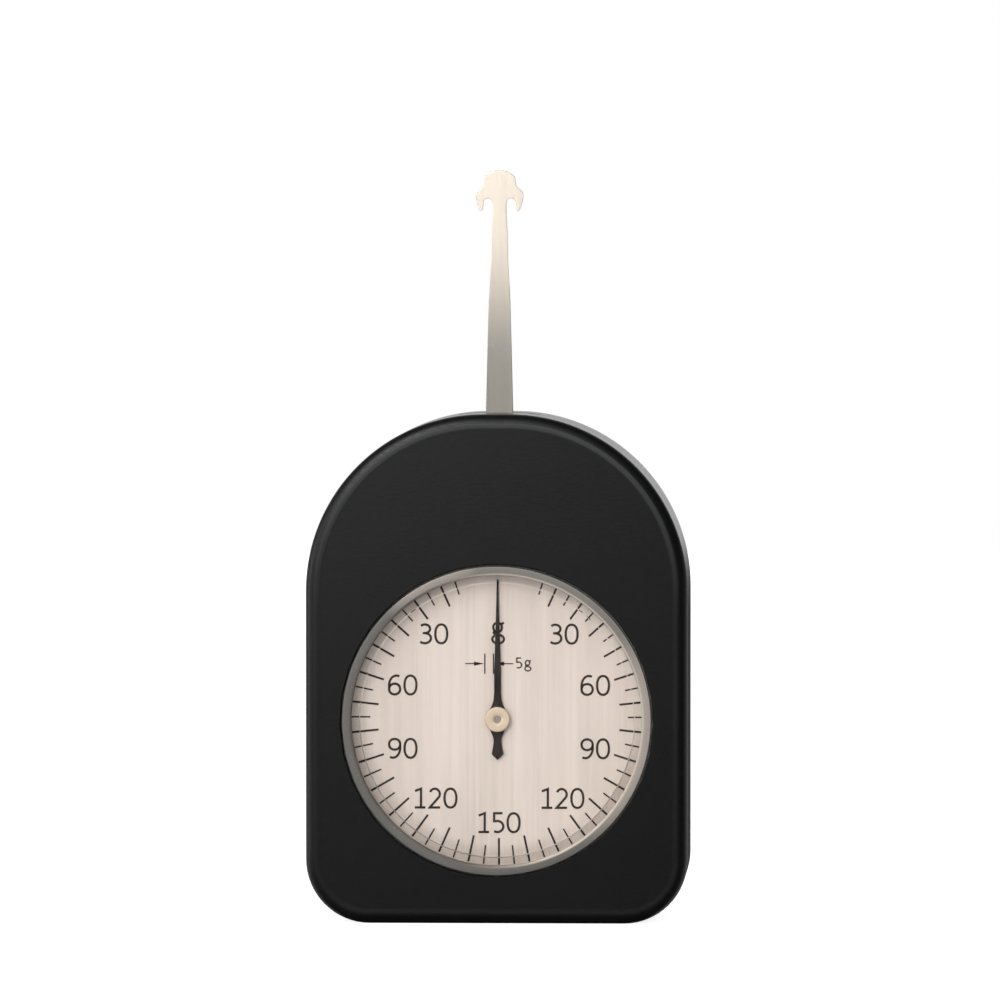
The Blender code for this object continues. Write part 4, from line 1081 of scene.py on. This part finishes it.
def white_floor():
    """A wide floor, nearly pure white to the camera; in gloss it is as dim in front as the world is."""
    shape = bmesh.new()
    bmesh.ops.create_grid(shape, x_segments=8, y_segments=8, size=floor_size)
    mesh = bpy.data.meshes.new("floor")
    shape.to_mesh(mesh)
    shape.free()
    obj = bpy.data.objects.new("floor", mesh)
    looks.objects.link(obj)
    material = bpy.data.materials.new("white_paper")
    material.use_nodes = True
    tree = material.node_tree
    shader = tree.nodes["Principled BSDF"]
    place = object_place(tree)
    tone = mix_colours(tree, noise(tree, place, 60.0), (0.93, 0.93, 0.93), (0.97, 0.97, 0.97))
    link(tree, tone, shader.inputs["Base Color"])
    shader.inputs["Roughness"].default_value = 0.9
    shader.inputs["Specular IOR Level"].default_value = 0.1
    behind = remap(tree, parts_of(tree, place)["Y"], floor_front, floor_front + 1 * MM)
    glow = node(tree, "ShaderNodeEmission")
    glow.inputs["Strength"].default_value = floor_glow
    lit = node(tree, "ShaderNodeAddShader")
    link(tree, shader.outputs["BSDF"], lit.inputs[0])
    link(tree, glow.outputs["Emission"], lit.inputs[1])
    mirrored_floor = node(tree, "ShaderNodeEmission")
    link(tree, mix_colours(tree, behind, front_dimness, (1, 1, 1)), mirrored_floor.inputs["Color"])
    seen = either_ray(tree, "Is Camera Ray", "Is Transmission Ray")
    plain = mix_shaders(tree, seen, shader.outputs["BSDF"], lit.outputs["Shader"])
    in_gloss = node(tree, "ShaderNodeLightPath").outputs["Is Glossy Ray"]
    blend = mix_shaders(tree, in_gloss, plain, mirrored_floor.outputs["Emission"])
    link(tree, blend, tree.nodes["Material Output"].inputs["Surface"])
    mesh.materials.append(material)


def studio_world():
    """White behind the gauge, dim in front of it, and even light on everything."""
    world = bpy.data.worlds.new("studio")
    bpy.context.scene.world = world
    world.use_nodes = True
    tree = world.node_tree
    background = tree.nodes["Background"]
    direction = node(tree, "ShaderNodeTexCoord").outputs["Generated"]
    behind = remap(tree, parts_of(tree, direction)["Y"], 0.5, 0.9)
    seen_in_gloss = mix_colours(tree, behind, front_dimness, (1, 1, 1))
    in_gloss = node(tree, "ShaderNodeLightPath").outputs["Is Glossy Ray"]
    plain = mix_colours(tree, in_gloss, even_light, seen_in_gloss)
    open_ray = either_ray(tree, "Is Camera Ray", "Is Transmission Ray")
    link(tree, mix_colours(tree, open_ray, plain, (1, 1, 1)), background.inputs["Color"])
    background.inputs["Strength"].default_value = 1.0


def aimed(name, data, place, aim):
    obj = bpy.data.objects.new(name, data)
    obj.location = place
    obj.rotation_euler = (Vector(aim) - Vector(place)).to_track_quat("-Z", "Y").to_euler()
    looks.objects.link(obj)
    return obj


def soft_sun():
    """A wide even key from the front, a little up and left, which leaves gloss to the other lamps."""
    lamp = bpy.data.lights.new("key_sun", "SUN")
    lamp.energy = sun_strength
    lamp.angle = math.radians(sun_width)
    obj = aimed("key_sun", lamp, sun_place, (0, 0, 0))
    obj.visible_glossy = False
    obj.visible_transmission = False


def gloss_lamp(name, size, power, place, aim, through_crystal):
    """A square lamp that shows only as gloss."""
    lamp = bpy.data.lights.new(name, "AREA")
    lamp.shape = "RECTANGLE"
    lamp.size, lamp.size_y = size, size
    lamp.energy = power
    obj = aimed(name, lamp, place, aim)
    obj.visible_diffuse = False
    obj.visible_transmission = through_crystal


def camera():
    view = bpy.data.cameras.new("camera")
    view.lens = camera_lens
    view.sensor_width = 36
    view.clip_start = 0.01
    bpy.context.scene.camera = aimed("camera", view, camera_place, camera_aim)


white_floor()
studio_world()
soft_sun()
# The sheen fades across the case from the upper left; the rim lamp lifts the left rounded rim.
gloss_lamp("sheen_lamp", sheen_size, sheen_power, sheen_place, sheen_aim, True)
gloss_lamp("rim_lamp", rim_size, rim_power, rim_place, rim_aim, False)
camera()
bpy.context.scene.view_settings.view_transform = "Standard"
